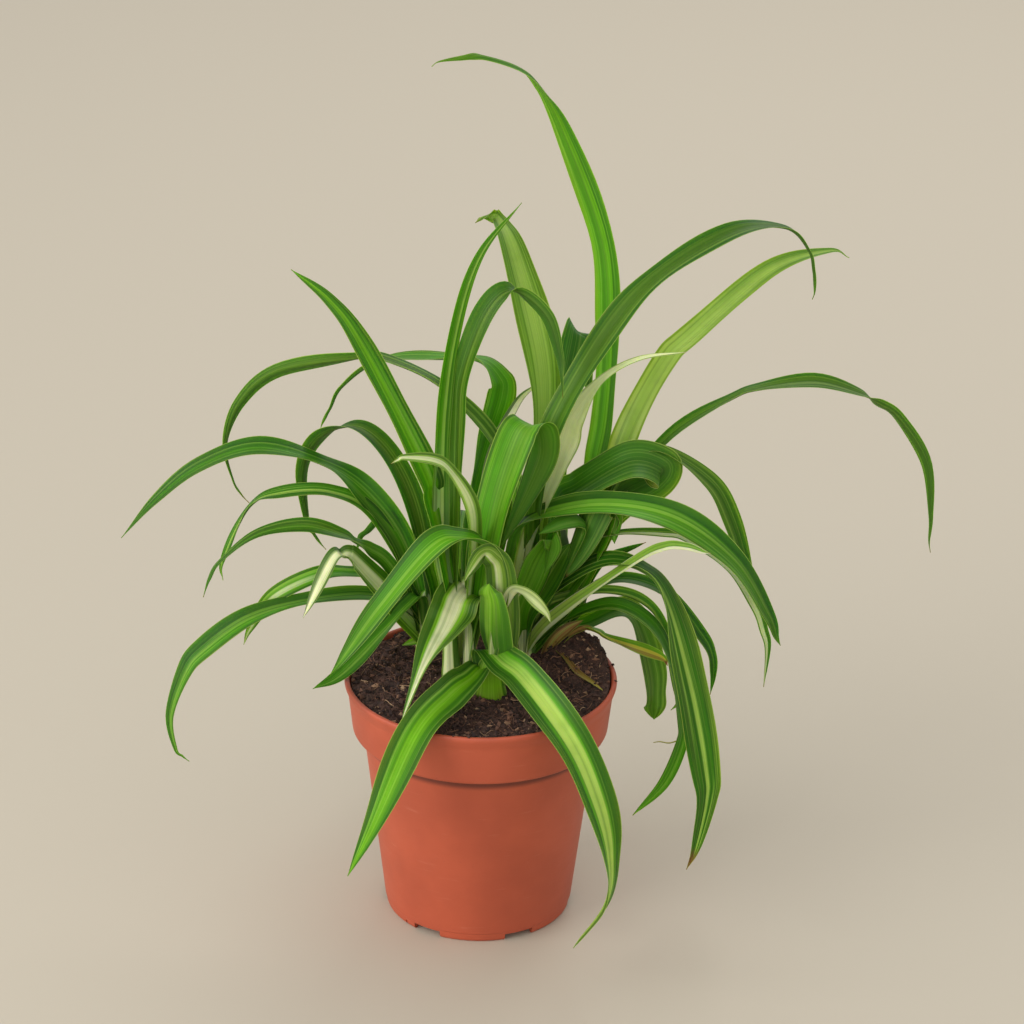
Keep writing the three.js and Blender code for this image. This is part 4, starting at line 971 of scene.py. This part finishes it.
# ---- Dead pieces --------------------------------------------------------------------------------------
# Two sheaths at the foot of the right crown, dried to brown paper, and an old root bare on the compost.
# A dead thread of leaf is caught on one that hangs beside the pot on the right.
PAPERY = {"tones": "brown straw brown", "margin": "brown", "margins": (0.6, 0.6),
          "core": ("straw", 0, 0.3, 0.6), "lines": 0.6, "dry": 0}
grow_leaf("dry_sheath", "crown_right", (27, 16), heading=20, width=6, base=0.7, **PAPERY,
          route=[(0, 109, 20), (5, 119, 25), (12, 125, 45), (19, 128, 60)])
grow_leaf("dry_sheath_tip", "crown_right", (34, 17), heading=8, width=4, base=0.7, **PAPERY,
          route=[(0, 114, -20), (5, 122, -10), (12, 126, 20), (17, 124, 40)])
grow_leaf("old_root", "crown_right", (32.5, 15), heading=-52, width=3, base=0.5, taper=3,
          tones="brown brown yellow", margin="brown", core=("straw", 0, 0.3, 0.4), lines=0.4, dry=0,
          route=[(0, 117.5, 10), (9, 116.5, 0, -1), (18, 113.6, 15, -1.5), (27, 111.6, 0), (34, 110.8, 10)])
grow_leaf("dead_thread", "crown_right", (88, 7), heading=180, width=0.8, base=1, taper=3, **PAPERY,
          route=[(0, 76.6, 0), (4, 75.4, 0), (8, 76, 0), (11, 75.6, 0)])


# ---- Back crown ---------------------------------------------------------------------------------------
# The shoot behind on the right, beside the heap of compost. It holds the tallest leaf of all, several long
# arching ones, and a low one that is dying back from its edge.
BACK = ("crown_back", (33, 34))
grow_leaf(
    "back_tallest", *BACK, heading=85, width=13, tones="bright bright olive", margin="mid",
    margins=(0.3, 0.9), core=("lime", -0.1, 0.25, 0.3), lines=0.08, dry=0.01,
    route=[(3, 118, -35), (11, 147, -35, -13), (17, 189, -35, -15), (22, 211, -40, -18),
        (28, 247, -35, -19), (35, 290, -25, -15), (41, 338, -20, 4), (39, 358, -55, 15), (36, 367, -60, 24),
        (31, 373, -50, 39), (28, 373, -65, 48), (25, 372, -35, 57), (24, 370, -35, 60)])
grow_leaf(
    "back_pale_arch", *BACK, heading=35, width=13, base=0.7, tones="cream pale mid", margin="soft",
    margins=(0.85, 0.85), core=("pale", -0.1, 0.4, 0.6), lines=0.08, dry=0.01,
    route=[(3, 118, 20), (18, 147, 20), (26, 175, 20), (39, 208, 20), (57, 234, 10), (70, 243, 10),
        (113, 266, 40), (147, 268, 40), (159, 262, 40)])
grow_leaf(
    "back_far_arch", *BACK, heading=20, width=8, base=0.7, taper=3, tones="mid olive dark",
    margins=(0.75, 0.7), core=("soft", 0.1, 0.3, 0.2), lines=0.15,
    route=[(3, 118, 10), (12, 138, 10), (20, 164, 10), (31, 182, 10), (54, 206, 5), (81, 219, -10),
        (94, 222, 5), (121, 222, 30), (144, 213, 15), (153, 207, -35), (163, 199, -40), (178, 175, -70),
        (182, 148, -40), (182, 135, -65), (183, 129, -65)])
grow_leaf(
    "back_drooping_behind", *BACK, heading=8, width=9.5, taper=5, tones="mid olive dark",
    margins=(0.85, 0.85), core=("mid", 0, 0.3, 0.2),
    route=[(3, 118, -5), (15, 151, -5), (25, 185, -5), (41, 203, -10), (66, 188, 45), (78, 167, 65),
        (91, 125, 65)])
grow_leaf(
    "back_creased", *BACK, heading=5, width=19.5, base=0.7, taper=5, tones="mid mid grey",
    margins=(0.93, 0.9), core=("dark", -0.3, 0.4, 0.3), lines=0.15, dry=0,
    route=[(2, 118, 5, 3), (8, 129, 5, 5), (7, 147, 5, 9), (2, 175, 5, 6), (9, 185, 15), (30, 201, 35, -6),
        (44, 197, 40, -4), (42, 190, 75), (27, 177, 110, 5), (8, 151, 110)])
grow_leaf(
    "back_dark_low", *BACK, heading=0, width=7, base=0.7, taper=3, tones="mid dark dark",
    core=("bright", 0, 0.25, 0.4), lines=0.2,
    route=[(3, 118, 15), (11, 126, 15), (15, 137, 15), (30, 143, 15), (49, 136, 25), (65, 116, 55),
        (70, 106, 45), (71, 96, 90), (70, 86, 90)])
grow_leaf(
    "back_blunt", *BACK, heading=-5, width=14, taper=9, tones="mid olive olive", margins=(0.8, 0.85),
    core=("bright", 0.1, 0.3, 0.2), lines=0.15, dry=0,
    route=[(3, 118, 30, 2), (14, 120, 30, 3), (27, 128, 20, 1), (33, 127, 15, 1), (38, 119, 25, 1),
        (44, 98, 45, 2), (45, 85, 45, 2), (45, 79, 90, 2), (45, 74, 90, 2)])
grow_leaf(
    "back_dying", *BACK, heading=-12, width=6.5, taper=5, tones="olive yellow yellow", margin="bright",
    margins=(0.9, 0.35), core=("brown", -0.5, 0.3, 0.6, 0.3), dry=0.06,
    route=[(2, 118, -15), (15, 124, -20, -9), (21, 124, -10, -11), (27, 121, -5, -11), (47, 110, 40),
        (51, 105, 40, 1)])
grow_leaf(
    "back_inner_rear", *BACK, heading=0, width=4.5, taper=3, tones="mid dark dark", margins=(0.6, 0.6),
    core=("bright", 0, 0.2, 0.3), lines=0.2, dry=0.05,
    route=[(3, 118, 70), (17, 148, 70), (24, 154, 70), (30, 157, 40), (39, 161, 65)])
grow_leaf(
    "back_rear_arch", *BACK, heading=90, width=10.5, **REAR, core=("cream", 0, 0.2, 0.4),
    route=[(3, 118, 0), (11, 138, 5), (32, 152, 10), (62, 147, 5), (94, 118, 0), (118, 72, 0),
        (130, 32, 0)])
grow_sheath("back", "crown_back", (33, 34, 108), (33, 35, 148), 12, 10,
            tones="cream pale bright", margins=(0.9, 0.9), core=("cream", 0, 0.6, 0.6), lines=0.5)
